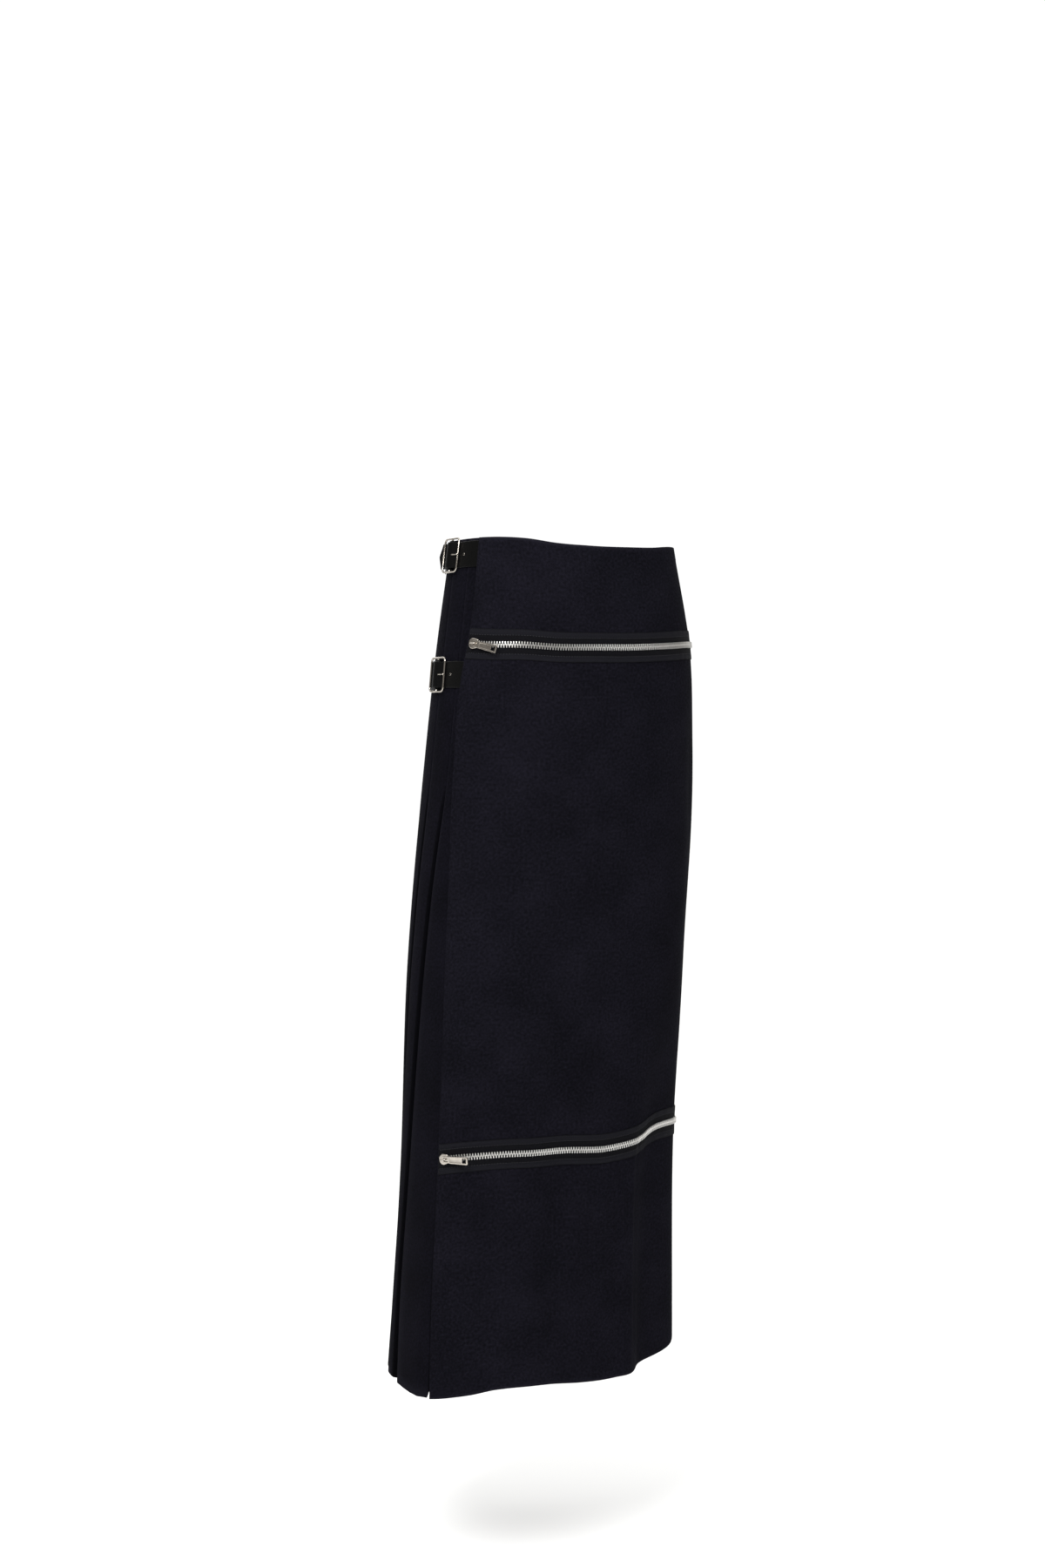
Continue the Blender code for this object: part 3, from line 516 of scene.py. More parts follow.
def local_frame(drop, heading, out, turn):
    """A frame on the cloth: X along it (turn +1 = increasing heading), Y up it, Z outwards."""
    along = Vector(surface(drop, heading + 1, out)) - Vector(surface(drop, heading - 1, out))
    along = (turn * along).normalized()
    up = Vector(surface(drop - 12 * MM, heading, out)) - Vector(surface(drop + 12 * MM, heading, out))
    outward = (along.cross(up) * turn).normalized()
    along = (along - outward * along.dot(outward)).normalized()
    up = (outward.cross(along) * turn).normalized()
    place = Matrix((along, up, outward)).transposed().to_4x4()
    place.translation = Vector(surface(drop, heading, out))
    return place


def moved(points, place):
    turn, shift = np.array(place.to_3x3()), np.array(place.translation)
    return np.asarray(points, float) @ turn.T + shift


def prism(name, outline, low, high, material, place):
    """An outline of (x, y) pairs pushed from one height to another."""
    rings = [[(x, y, height) for x, y in outline] for height in (low, high)]
    return new_object(name, moved(np.concatenate(rings), place), loft(rings), material)


def block(name, x, y, z, place):
    return prism(name, [(x[0], y[0]), (x[1], y[0]), (x[1], y[1]), (x[0], y[1])], z[0], z[1], None, place)


def tube(name, path, radii, plane_normal, material, place, closed=False, sides=20):
    """A round bar along a flat path of points, with a radius at each."""
    path = np.asarray(path, float)
    normal = np.asarray(plane_normal, float)
    radii = np.broadcast_to(radii, len(path))
    ahead = unit(np.roll(path, -1, axis=0) - path)
    back = np.roll(ahead, 1, axis=0)
    if not closed:
        back[0], ahead[-1] = ahead[0], back[-1]
    along = unit(ahead + back)
    side = np.cross(normal, along)
    stretch = 1 / np.clip((along * ahead).sum(axis=1), 0.6, 1)
    turns = 2 * pi * np.arange(sides) / sides
    rings = (path[:, None]
             + side[:, None] * (radii * stretch)[:, None, None] * np.cos(turns)[None, :, None]
             + normal * radii[:, None, None] * np.sin(turns)[None, :, None])
    return new_object(name, moved(rings.reshape(-1, 3), place), loft(rings, closed), material)


def arc(centre, radius, start, end, steps):
    turns = np.radians(np.linspace(start, end, steps))
    return [(centre[0] + radius * cos(t), centre[1] + radius * sin(t)) for t in turns]


# ---------------------------------------------------------------- materials
COLOURS = {"data_type": "RGBA"}      # what the Mix node mixes
MIX_A, MIX_B = 6, 7                  # its two colours


def linear(colour_hex):
    """An sRGB hex colour as the linear colour that a shader takes."""
    values = [int(colour_hex[k:k + 2], 16) / 255 for k in (1, 3, 5)]
    return (*[v / 12.92 if v <= 0.04045 else ((v + 0.055) / 1.055) ** 2.4 for v in values], 1.0)


def output_of(source):
    """An output itself, or a node's first output in use."""
    if isinstance(source, bpy.types.NodeSocket):
        return source
    return next(output for output in source.outputs if output.enabled)


def add(tree, kind, settings=(), links=()):
    """Adds a node with its settings, which are properties or sockets' values, and its links."""
    node = tree.nodes.new("ShaderNode" + kind)
    for name, value in dict(settings).items():
        if name == "stops":
            for _ in range(len(value) - 2):
                node.color_ramp.elements.new(0.5)
            for element, (position, grey) in zip(node.color_ramp.elements, value):
                element.position = position
                element.color = (grey, grey, grey, 1)
        elif isinstance(name, int) or name in node.inputs:
            colour = isinstance(value, str) and value.startswith("#")
            node.inputs[name].default_value = linear(value) if colour else value
        else:
            setattr(node, name, value)
    for name, source in dict(links).items():
        tree.links.new(output_of(source), node.inputs[name])
    return node


def new_material(name, **sockets):
    """A material, with values that are the same all over set on its shader."""
    material = bpy.data.materials.new(name)
    material.use_nodes = True
    shader = material.node_tree.nodes["Principled BSDF"]
    for socket, value in sockets.items():
        shader.inputs[socket.replace("_", " ")].default_value = value
    return material, material.node_tree, shader


def lead(tree, shader, **sources):
    """Links the nodes that make what varies over a surface to the shader's sockets."""
    for socket, source in sources.items():
        tree.links.new(output_of(source), shader.inputs[socket.replace("_", " ")])


def worsted_twill(name, ground, lit):
    """Worsted wool twill, woven from dyed yarn and pressed: matt, almost black navy, with a diagonal rib.

    The rib of the real cloth is about 0.6 mm; it is drawn at 1.3 mm so that it shows. The fibres take the
    light in, so the specular level is low. Pressed folds and edges come up a little paler, partly as press
    wear and partly as a painted highlight, and the cloth inside the pleats' slots and just beside the apron's
    edge is painted near black as shade.
    """
    material, tree, shader = new_material(
        name, Roughness=0.9, Specular_IOR_Level=0.02, Sheen_Weight=0.004, Sheen_Roughness=0.45,
        Sheen_Tint=linear("#8E92B4"))
    place = add(tree, "UVMap", {"uv_map": "cut"})
    axes = add(tree, "SeparateXYZ", links={0: place}).outputs
    rib_turn = 2 * pi / (1.3 * MM * 2 ** 0.5)
    weave = None
    for way, turn, depth in (("SUBTRACT", 2.3 * rib_turn, 0.10), ("ADD", rib_turn, 0.22)):
        slanted = add(tree, "Math", {"operation": way}, {0: axes[0], 1: axes[1]})
        angle = add(tree, "Math", {"operation": "MULTIPLY", 1: turn}, {0: slanted})
        wave = add(tree, "Math", {"operation": "SINE"}, {0: angle})
        weave = add(tree, "Math", {"operation": "MULTIPLY_ADD", 1: depth, 2: 0.35},
                    {0: wave, 2: weave} if weave else {0: wave})
    noises = (
        (0.9 * MM, 3.0, 0.7, 1.1),           # the fibres' fuzz
        (3 * MM, 2.0, 0.5, 1.6),             # thicker and thinner yarn
        (70 * MM, 3.0, 0.55, 0.9),           # slow unevenness of the dye
    )
    tone, patterns = weave, []
    for size, detail, roughness, strength in noises:
        patterns.append(add(tree, "TexNoise", {"Scale": 1 / size, "Detail": detail, "Roughness": roughness},
                            {"Vector": place}))
        centred = add(tree, "Math", {"operation": "SUBTRACT", 1: 0.5}, {0: patterns[-1]})
        tone = add(tree, "Math", {"operation": "MULTIPLY_ADD", 1: strength}, {0: centred, 2: tone})
    colour = add(tree, "Mix", {**COLOURS, MIX_A: ground, MIX_B: lit}, {0: tone})
    rub = add(tree, "Attribute", {"attribute_name": "rub"}).outputs["Fac"]
    # The painted tone: above 0 the cloth is paler, as press wear and a painted highlight; below 0 it is
    # painted near black as shade in the pleats' slots and beside the apron's edge.
    for strength, painted_light_tone in ((0.55, "#212028"), (-0.9, "#020203")):
        amount = add(tree, "Math", {"operation": "MULTIPLY", 1: strength}, {0: rub})
        colour = add(tree, "Mix", {**COLOURS, MIX_B: painted_light_tone}, {0: amount, MIX_A: colour})
    height = add(tree, "Math", {"operation": "MULTIPLY_ADD", 1: 0.6}, {0: patterns[0], 2: weave})
    bump = add(tree, "Bump", {"Strength": 0.45, "Distance": 0.25 * MM}, {"Height": height})
    lead(tree, shader, Base_Color=colour, Normal=bump)
    return material


def herringbone_tape():
    """Woven polyester zip tape: charcoal herringbone, smoother and paler along its outer band.

    The herringbone's diagonal is 0.8 mm and turns back every 2.2 mm, as on a real tape.
    """
    material, tree, shader = new_material("woven_polyester_zip_tape", Roughness=0.75, Specular_IOR_Level=0.06)
    place = add(tree, "UVMap", {"uv_map": "cut"})
    axes = add(tree, "SeparateXYZ", links={0: place}).outputs
    zigzag = add(tree, "Math", {"operation": "PINGPONG", 1: 2.2 * MM}, {0: axes[1]})
    slanted = add(tree, "Math", {"operation": "ADD"}, {0: axes[0], 1: zigzag})
    angle = add(tree, "Math", {"operation": "MULTIPLY", 1: 2 * pi / (1.1 * MM)}, {0: slanted})
    lines = add(tree, "Math", {"operation": "SINE"}, {0: angle})
    across = add(tree, "Math", {"operation": "DIVIDE", 1: 17.0 * MM}, {0: axes[1]})
    band = add(tree, "ValToRGB", {"stops": (
        (0.0, 0.0), (0.30, 0.03), (0.52, 0.06), (0.60, 0.0), (0.64, 0.45), (0.92, 0.52), (0.97, 0.1))},
        {0: across})
    fuzz = add(tree, "TexNoise", {"Scale": 1 / (0.7 * MM), "Detail": 2.0}, {"Vector": place})
    centred = add(tree, "Math", {"operation": "SUBTRACT", 1: 0.5}, {0: fuzz})
    tone = add(tree, "Math", {"operation": "MULTIPLY_ADD", 1: 0.13}, {0: lines, 2: band})
    tone = add(tree, "Math", {"operation": "MULTIPLY_ADD", 1: 0.5}, {0: centred, 2: tone})
    colour = add(tree, "Mix", {**COLOURS, MIX_A: "#07070A", MIX_B: "#1B1B21"}, {0: tone})
    bump = add(tree, "Bump", {"Strength": 0.6, "Distance": 0.2 * MM}, {"Height": lines})
    lead(tree, shader, Base_Color=colour, Normal=bump)
    return material


def plated_metal(name, bright, dull, roughness, scratch_width):
    """Metal with a bright plate: it mirrors the room, with a soft cloud where it has been handled."""
    material, tree, shader = new_material(name, Metallic=1.0)
    place = add(tree, "TexCoord").outputs["Object"]
    cloud = add(tree, "TexNoise", {"Scale": 1 / (6 * MM), "Detail": 3.0}, {"Vector": place})
    stretched = add(tree, "Mapping", {"Scale": (1.0, 1.0, 6.0)}, {"Vector": place})
    scratch = add(tree, "TexNoise", {"Scale": 1 / scratch_width, "Detail": 2.0}, {"Vector": stretched})
    colour = add(tree, "Mix", {**COLOURS, MIX_A: bright, MIX_B: dull}, {0: cloud})
    rough = add(tree, "Math", {"operation": "MULTIPLY_ADD", 1: 0.12, 2: roughness - 0.06}, {0: cloud})
    bump = add(tree, "Bump", {"Strength": 0.12, "Distance": 0.05 * MM}, {"Height": scratch})
    lead(tree, shader, Base_Color=colour, Roughness=rough, Normal=bump)
    return material


def bridle_leather():
    """Vegetable-tanned leather, dyed black and waxed: fine pores, a low shine and paler rubbed edges."""
    material, tree, shader = new_material("black_bridle_leather", Specular_IOR_Level=0.05)
    place = add(tree, "UVMap", {"uv_map": "cut"})
    pores = add(tree, "TexVoronoi", {"Scale": 1 / (0.55 * MM), "Randomness": 1.0}, {"Vector": place})
    grain = add(tree, "TexNoise", {"Scale": 1 / (2.5 * MM), "Detail": 4.0, "Roughness": 0.65},
                {"Vector": place})
    colour = add(tree, "Mix", {**COLOURS, MIX_A: "#050505", MIX_B: "#090909"}, {0: grain})
    rub = add(tree, "Attribute", {"attribute_name": "rub"}).outputs["Fac"]
    amount = add(tree, "Math", {"operation": "MULTIPLY", 1: 0.6}, {0: rub})
    colour = add(tree, "Mix", {**COLOURS, MIX_B: "#262522"}, {0: amount, MIX_A: colour})
    rough = add(tree, "Math", {"operation": "MULTIPLY_ADD", 1: 0.22, 2: 0.34}, {0: grain})
    height = add(tree, "Math", {"operation": "MULTIPLY_ADD", 1: 0.5}, {0: pores, 2: grain})
    bump = add(tree, "Bump", {"Strength": 0.35, "Distance": 0.12 * MM}, {"Height": height})
    lead(tree, shader, Base_Color=colour, Roughness=rough, Normal=bump)
    return material


def spun_thread():
    """Spun polyester sewing thread, black: matt, with a fine twist."""
    material, tree, shader = new_material(
        "black_spun_polyester_thread", Roughness=0.75, Specular_IOR_Level=0.3)
    place = add(tree, "TexCoord").outputs["Object"]
    twist = add(tree, "TexNoise", {"Scale": 1 / (0.4 * MM), "Detail": 1.0}, {"Vector": place})
    colour = add(tree, "Mix", {**COLOURS, MIX_A: "#0E0E11", MIX_B: "#26262C"}, {0: twist})
    lead(tree, shader, Base_Color=colour)
    return material


def painted_floor():
    """Matt white emulsion on a smooth studio floor: even, with the roller's faint cloud."""
    material, tree, shader = new_material("matt_white_floor_paint", Roughness=0.9, Specular_IOR_Level=0.1)
    place = add(tree, "TexCoord").outputs["Object"]
    roller = add(tree, "TexNoise", {"Scale": 3.0, "Detail": 3.0}, {"Vector": place})
    colour = add(tree, "Mix", {**COLOURS, MIX_A: "#F7F7F6", MIX_B: "#FAFAF9"}, {0: roller})
    lead(tree, shader, Base_Color=colour)
    return material


APRON_WOOL = worsted_twill("worsted_wool_twill", "#08080C", "#18171F")
# The under-apron and the pleats are the same wool as the apron, given darker colours as painted shade.
SHADED_UNDER_WOOL = worsted_twill("worsted_wool_twill_under_apron_painted_shade", "#07070B", "#121117")
SHADED_PLEAT_WOOL = worsted_twill("worsted_wool_twill_pleats_painted_shade", "#060609", "#121119")
TAPE = herringbone_tape()
TEETH = plated_metal("aluminium_zip_teeth", "#DCDBD8", "#C2C0BC", 0.34, 0.5 * MM)
NICKEL = plated_metal("polished_nickel_plate", "#C6C0B8", "#A19A90", 0.11, 0.35 * MM)
LEATHER = bridle_leather()
THREAD_BLACK = spun_thread()


# ---------------------------------------------------------------- the apron
def cut_place(drops, headings, middle):
    """Each point's place on the flat cloth: from a straight line down the front, and from the waist."""
    run = np.array([run_along(row) for row in middle])
    zero = np.array([np.interp(CENTRE_FRONT, h, r) for h, r in zip(headings, run)])
    down = np.broadcast_to(drops[:, None], run.shape)
    return np.stack([run - zero[:, None], down], -1)


def wrap_panel(name, node, drops, shares, turned, outside, rub, wool, flat):
    """A panel of the wrap, from the apron's edge (share 0) to the side seam (1), thicker where turned in.

    outside and the argument after it are functions of the drops and headings: how far out its outer face is,
    and the paler tone painted on it, as press wear and a painted highlight.
    """
    edge = apron_edge(drops)[:, None]
    headings = edge + (SIDE_SEAM - edge) * shares
    thick = (CLOTH + TURNING * turned)[:, None] * np.ones(len(shares))
    middle = surface(drops[:, None], headings, outside(drops[:, None], headings) - thick / 2)
    half = thick / 2 * rim(drops, CLOTH / 2)[:, None] * rim(shares, CLOTH / 2 / APRON_WIDTH)
    panel = shell(name, middle, grid_normals(middle), half, cut_place(drops, headings, middle), wool,
                  rub(drops[:, None], headings))
    settle(panel, node)


def hem_turning(drops):
    """1 where the hem is turned up inside, 0 above it."""
    return ease((drops - (LENGTH - HEM_DEPTH)) / TURNING_STEP)


def over_apron_outside(drops, headings):
    return apron_out(headings) + relief(drops, headings)


def under_apron_outside(drops, headings):
    """Inside the over-apron, and pushed in by half where that dips."""
    return apron_out(headings) - EDGE_LIFT + 0.5 * np.minimum(relief(drops, headings), 0)


def over_apron_wear_and_highlight(drops, headings):
    """Paler where it is pressed and worn, and as a painted highlight: the waist, the hem and the sharp crease
    above the hem.
    """
    waist = bell(drops, 2.6 * MM)
    hem = 0.7 * bell(LENGTH - drops, 2.0 * MM)
    _, centre = crease_line(CREASES[0], drops / MM)
    crease = np.where(drops > LOWER_ZIP_DROP, 0.25 * bell(round_mm(headings) - centre, 1.8), 0)
    return np.maximum(np.maximum(waist, hem), crease)


def under_apron_wear_and_highlight(drops, headings):
    # Paler at the waist and the hem, as press wear and a painted highlight.
    return 0.6 * bell(np.minimum(drops, LENGTH - drops), 2.2 * MM)


def aprons():
    """The over-apron's three panels, parted by the zips, and the under-apron behind them."""
    panels = (
        ("upper", 0.0, UPPER_ZIP_DROP - GAP / 2, 46, (0.366, 0.1165)),
        ("middle", UPPER_ZIP_DROP + GAP / 2, LOWER_ZIP_DROP - GAP / 2, 150, (0.42, 0.568)),
        ("lower", LOWER_ZIP_DROP + GAP / 2, LENGTH, 90, (0.428, 0.2635)),
    )
    shares = stations(0, 1, 150, CLOTH / 2 / APRON_WIDTH)
    for part, top, bottom, rows, flat in panels:
        drops = stations(top, bottom, rows, CLOTH / 2)
        turned = hem_turning(drops) + ease((WAIST_FACING - drops) / TURNING_STEP)
        wrap_panel(f"over_apron_{part}", f"apron_{part}_panel", drops, shares, turned, over_apron_outside,
                   over_apron_wear_and_highlight, APRON_WOOL, flat)
    drops = stations(0, LENGTH, 90, CLOTH / 2)
    first, last = UNDER_START / (SOLID_COLUMNS - 1), UNDER_END / (SOLID_COLUMNS - 1)
    shares = stations(first, last, 80, CLOTH / 2 / APRON_WIDTH)
    wrap_panel("under_apron_cloth", "under_apron", drops, shares, hem_turning(drops), under_apron_outside,
               under_apron_wear_and_highlight, SHADED_UNDER_WOOL, (0.322, 0.948))


# ---------------------------------------------------------------- the pleats
# A pleat's line has seven bends: the fold, its lower layer, the two bends at the back of the underlay, where
# the next face starts, where it reaches its full height, and a slow bend on the face.
# radius is in mm, and steps is how many pieces the stretch after the bend has.
Bend = namedtuple("Bend", "along out radius steps rub")
PLEAT_RADII = (1.05, 1.05, 1.05, 1.05, 3.0, 2.5, 9.0)
PLEAT_STEPS = (1, 4, 1, 4, 3, 2, 4)
# Painted tone at each bend: the fold is paler, as press wear and a painted highlight; the underlay and the
# slot behind the fold are painted dark as shade, scaled by the opening's shade.
PLEAT_WEAR_AND_PAINTED_LIGHT = (0.25, 0.0, -1.0, -1.0, -1.0, -0.9, 0.0)
APRON_EDGE_PAINTED_SHADE = -0.8                       # painted shade on the cloth under the apron and just beside its edge


def pleat_line(drop, depth, recess, slot, shade):
    """The pleated cloth's middle line at one drop: the headings, offsets and painted tones (paler folds,
    painted shade in the slots and beside the apron's edge) of its points.
    """
    edge = apron_edge(drop)
    start = edge + (SIDE_SEAM - edge) * UNDER_START / (SOLID_COLUMNS - 1)
    headings = np.linspace(start - SEAM_SETBACK, SIDE_SEAM - 360 + SEAM_SETBACK, 400)
    run = run_along(plan(drop, headings))
    first, cover = np.interp((-first_fold(drop), -edge), -headings, run)
    face = (run[-1] - first) / PLEAT_COUNT
    underlay = min(MOST_UNDERLAY * face, (PLEAT_CLOTH - face) / 2)
    top = -CLOTH / 2
    bottom = top - depth
    bends = [Bend(0.0, top, 1.0, 4, APRON_EDGE_PAINTED_SHADE), Bend(cover - MM, top, 1.0, 1, APRON_EDGE_PAINTED_SHADE),
             Bend(cover + 2.5 * MM, top, 1.0, 3, APRON_EDGE_PAINTED_SHADE), Bend(cover + 5 * MM, top, 1.0, 4, 0.0)]
    for fold in first + face * np.arange(PLEAT_COUNT):
        corners = (
            (fold, top), (fold, top - LAYER_PITCH), (fold - underlay, bottom + LAYER_PITCH),
            (fold - underlay, bottom), (fold + 0.6 * slot, top - recess), (fold + slot, top - 0.1 * recess),
            (fold + slot + 0.3 * face, top))
        bends += [Bend(x, y, radius, steps, rub * shade if rub < 0 else rub)
                  for (x, y), radius, steps, rub in zip(corners, PLEAT_RADII, PLEAT_STEPS, PLEAT_WEAR_AND_PAINTED_LIGHT)]
    bends.append(Bend(run[-1], top, 1.0, 1, 0.0))
    line = rounded(bends)
    return np.interp(line[:, 0], run, headings), line[:, 1], line[:, 2]


def rounded(bends):
    """The points (along, out, painted tone) of a line through the bends, each rounded within its two
    stretches.
    """
    here = np.array([(bend.along, bend.out) for bend in bends])
    lengths = np.linalg.norm(np.diff(here, axis=0), axis=1)
    line = [(*here[0], 0.0)]
    for k in range(1, len(bends)):
        before, bend = bends[k - 1], bends[k]
        inner = k < len(bends) - 1
        reach = min(bend.radius * MM, 0.45 * lengths[k - 1], 0.45 * lengths[k]) if inner else 0
        into = here[k] - (here[k] - here[k - 1]) / lengths[k - 1] * reach
        last = np.array(line[-1][:2])
        for share in np.arange(1, before.steps + 1) / before.steps:
            change = 1 - (1 - share) ** 5 if before.rub < bend.rub == 0 else share ** 6
            line.append((*(last + (into - last) * share), before.rub + (bend.rub - before.rub) * change))
        if inner:
            out_of = here[k] + (here[k + 1] - here[k]) / lengths[k] * reach
            for t in (1 / 3, 2 / 3, 1.0):
                point = (1 - t) ** 2 * into + 2 * t * (1 - t) * here[k] + t * t * out_of
                line.append((*point, bend.rub))
    return np.array(line)


def pleat_sway(drop, heading):
    """A slight sway that moves all the layers of a pleat together, growing towards the hem."""
    x = round_mm(np.mod(heading, 360.0))
    ramp = ease((drop / MM - 300) / 500)
    return MM * ramp * (0.9 * np.sin(x / 19 + drop / MM / 210) + 0.6 * np.sin(x / 43 - drop / MM / 130 + 1.1))


def corner_lift(drop, heading):
    """At the hem the first pleat is drawn up a little beside the apron's edge."""
    beside = (round_mm(apron_edge(drop)) - round_mm(heading)) / CORNER_WIDTH
    return CORNER_LIFT * ease((drop / LENGTH - 0.93) / 0.07) ** 2 * np.exp(-abs(beside - 0.3) ** 3)


def pleated_back():
    drops = stations(0, LENGTH, 78, CLOTH / 2)
    openings = [np.interp(drops, column(OPENINGS, "drop"), column(OPENINGS, name, scale))
                for name, scale in (("depth", MM), ("recess", MM), ("slot", MM), ("shade", 1.0))]
    rows, outward, cuts, wear_and_painted_light_rows = [], [], [], []
    for drop, *opening in zip(drops, *openings):
        headings, offsets, rub = pleat_line(drop, *opening)
        row = surface(drop, headings, offsets + pleat_sway(drop, headings))
        row[:, 2] += corner_lift(drop, headings)
        row = row[::-1]
        step = unit(np.gradient(row[:, :2], axis=0))
        run = run_along(row)
        # Paler at the hem and the waist, as press wear and a painted highlight; the painted shade of the
        # slots is kept.
        edge_wear_and_highlight = 0.8 * max(bell(LENGTH - drop, 2 * MM), bell(drop, 2.4 * MM))
        rows.append(row)
        outward.append(np.stack([step[:, 1], -step[:, 0], np.zeros(len(row))], -1))
        cuts.append(np.stack([run - run[-1] / 2, np.full(len(row), drop)], -1))
        wear_and_painted_light_rows.append(np.where(rub < 0, rub, np.maximum(rub, edge_wear_and_highlight))[::-1])
    rows = np.array(rows)
    half = CLOTH / 2 * rim(drops, CLOTH / 2)[:, None] * np.ones(rows.shape[:2])
    half[:, [0, -1]] = 0
    outward, cuts, wear_and_painted_light_rows = np.array(outward), np.array(cuts), np.array(wear_and_painted_light_rows)
    back = shell("knife_pleated_back", rows, outward, half, cuts, SHADED_PLEAT_WOOL, wear_and_painted_light_rows)
    settle(back, "pleated_back")


# ---------------------------------------------------------------- the zips
# Across a tape, in mm from the zip's middle: its rows, and how far the woven cord and the sewn line lift it.
TAPE_ROWS = (0.44, 0.46, 0.5, 1.4, 2.4, 3.0, 3.6, 4.2, 5.0, 6.5, 8.2, 9.4, 10.0, 10.35, 10.7, 11.4, 13.4,
             15.4, 16.0, 16.5, 16.75, 16.9, 16.98, 17.0)
TAPE_LIFT = ((0.5, 0.0), (2.4, 0.0), (3.0, 0.25), (3.6, 0.45), (4.2, 0.2), (5.0, 0.0), (9.4, 0.05),
             (10.35, -0.14), (11.4, 0.14), (15.4, 0.10), (17.0, 0.0))
TAPE_RIM = 0.3 * MM
STITCH_LINE = 10.35 * MM
STITCH_LENGTH, STITCH_PITCH = 2.4 * MM, 3.2 * MM
STITCH_SINK = 0.14 * MM

# A tooth's rows, from the head that meshes past the middle to the jaws on the tape's cord: mm from the
# zip's middle, share of the half width and share of the height.
TOOTH_ROWS = ((3.55, 0.86, 0.62), (3.35, 1.0, 0.94), (2.3, 1.0, 1.0), (0.9, 0.84, 0.98), (-0.55, 0.86, 0.98),
              (-0.95, 0.62, 0.70))
TOOTH_HALF_WIDTH, TOOTH_LOW, TOOTH_HIGH, TOOTH_CHAMFER = 0.66, 0.25, 2.25, 0.28

# A stitch's rings: share of its length, and rise and size as shares of the thread's radius.
STITCH_ROWS = ((-0.5, -0.9, 0.5), (-0.36, 0.0, 0.95), (0.0, 0.35, 1.0), (0.36, 0.0, 0.95), (0.5, -0.9, 0.5))

# Half of the slider's outline, nose first: share of its half length, and half width.
SLIDER_SIDE = (
    (-1.0, 0.5 * SLIDER_NOSE), (-0.93, 0.82 * SLIDER_NOSE), (-0.78, 1.14 * SLIDER_NOSE),
    (-0.45, 0.96 * SLIDER_SHOULDER), (-0.1, SLIDER_SHOULDER), (0.25, 0.94 * SLIDER_SHOULDER),
    (0.9, SLIDER_MOUTH), (1.0, 0.9 * SLIDER_MOUTH))

# Half of the pull's outline from its bar to its tip (mm along, mm half width), and what is cut from it: mm
# along, half width, and heights.
PULL_SIDE = ((-0.65, 3.5), (7.0, 3.5), (7.8, 3.6), (9.0, 3.87), (31.0, 4.3), (31.6, 4.1), (32.0, 3.4))
PULL_CUTS = (
    ("slot", (0.65, 6.4), 2.15, (-1.3, 1.3)),
    ("window", (25.0, 30.2), 2.65, (-1.3, 1.3)),
    ("recess", (9.0, 23.4), 2.65, (0.3, 1.3)),
)


def zip_tape(prefix, zip_drop, side):
    """One woven tape, sewn flat on the apron: side -1 above the teeth, +1 below them."""
    start = apron_edge(zip_drop)
    first = walk(zip_drop, start, TAPE_INSET)
    end_reach = TAPE_RIM / APRON_WIDTH * (SIDE_SEAM - first)
    line = stations(first, SIDE_SEAM - 0.05, 260, end_reach)
    across = np.array(TAPE_ROWS[::side]) * MM
    drops = zip_drop + side * across
    slant = (apron_edge(drops) - start)[:, None] * (SIDE_SEAM - line) / (SIDE_SEAM - start)
    headings = line + slant
    lift = np.interp(across / MM, *zip(*TAPE_LIFT))[:, None] * MM
    out = apron_out(headings) + relief(drops[:, None], headings) + GAP + TAPE_CLOTH / 2 + lift
    middle = surface(drops[:, None], headings, out)
    half = TAPE_CLOTH / 2 * rim(across, TAPE_RIM)[:, None] * rim(line, end_reach)
    cut = cut_place(drops, headings, middle)
    cut[..., 1] = across[:, None]
    where = "top" if side < 0 else "bottom"
    tape = shell(f"{prefix}_zip_{where}_tape", middle, grid_normals(middle), half, cut, TAPE)
    settle(tape, f"{prefix}_zip_tape_{where}")


def along_zip(zip_drop, offset, first, pitch, lift):
    """Places along a line beside the zip's middle: (origin, x along, y up, z out), pitch apart."""
    fine = walk(zip_drop, apron_edge(zip_drop), np.arange(0, 0.6, MM))
    fine = fine[fine < SIDE_SEAM]
    run = run_along(surface(zip_drop, fine, apron_out(fine)))
    headings = np.interp(np.arange(first, run[-1] - pitch / 2, pitch), run, fine)

    def at(drop, heading):
        return surface(drop, heading, apron_out(heading) + relief(drop, heading) + lift)

    drop = zip_drop + offset
    x = unit(at(drop, headings + 0.2) - at(drop, headings - 0.2))
    z = unit(np.cross(x, at(drop - 2 * MM, headings) - at(drop + 2 * MM, headings)))
    return list(zip(at(drop, headings), x, np.cross(z, x), z))


def tooth_shape(side):
    """One tooth: it clamps the tape's cord and narrows to a head that meshes past the middle."""
    rings = []
    for y, narrow, tall in TOOTH_ROWS:
        w = TOOTH_HALF_WIDTH * narrow
        h = TOOTH_LOW + (TOOTH_HIGH - TOOTH_LOW) * tall
        c = TOOTH_CHAMFER
        ring = ((-w, TOOTH_LOW), (w, TOOTH_LOW), (w, h - c), (w - c, h), (c - w, h), (-w, h - c))
        rings.append([(x, side * y, z) for x, z in ring])
    faces = loft(rings) if side > 0 else [face[::-1] for face in loft(rings)]
    return np.concatenate(rings) * MM, faces


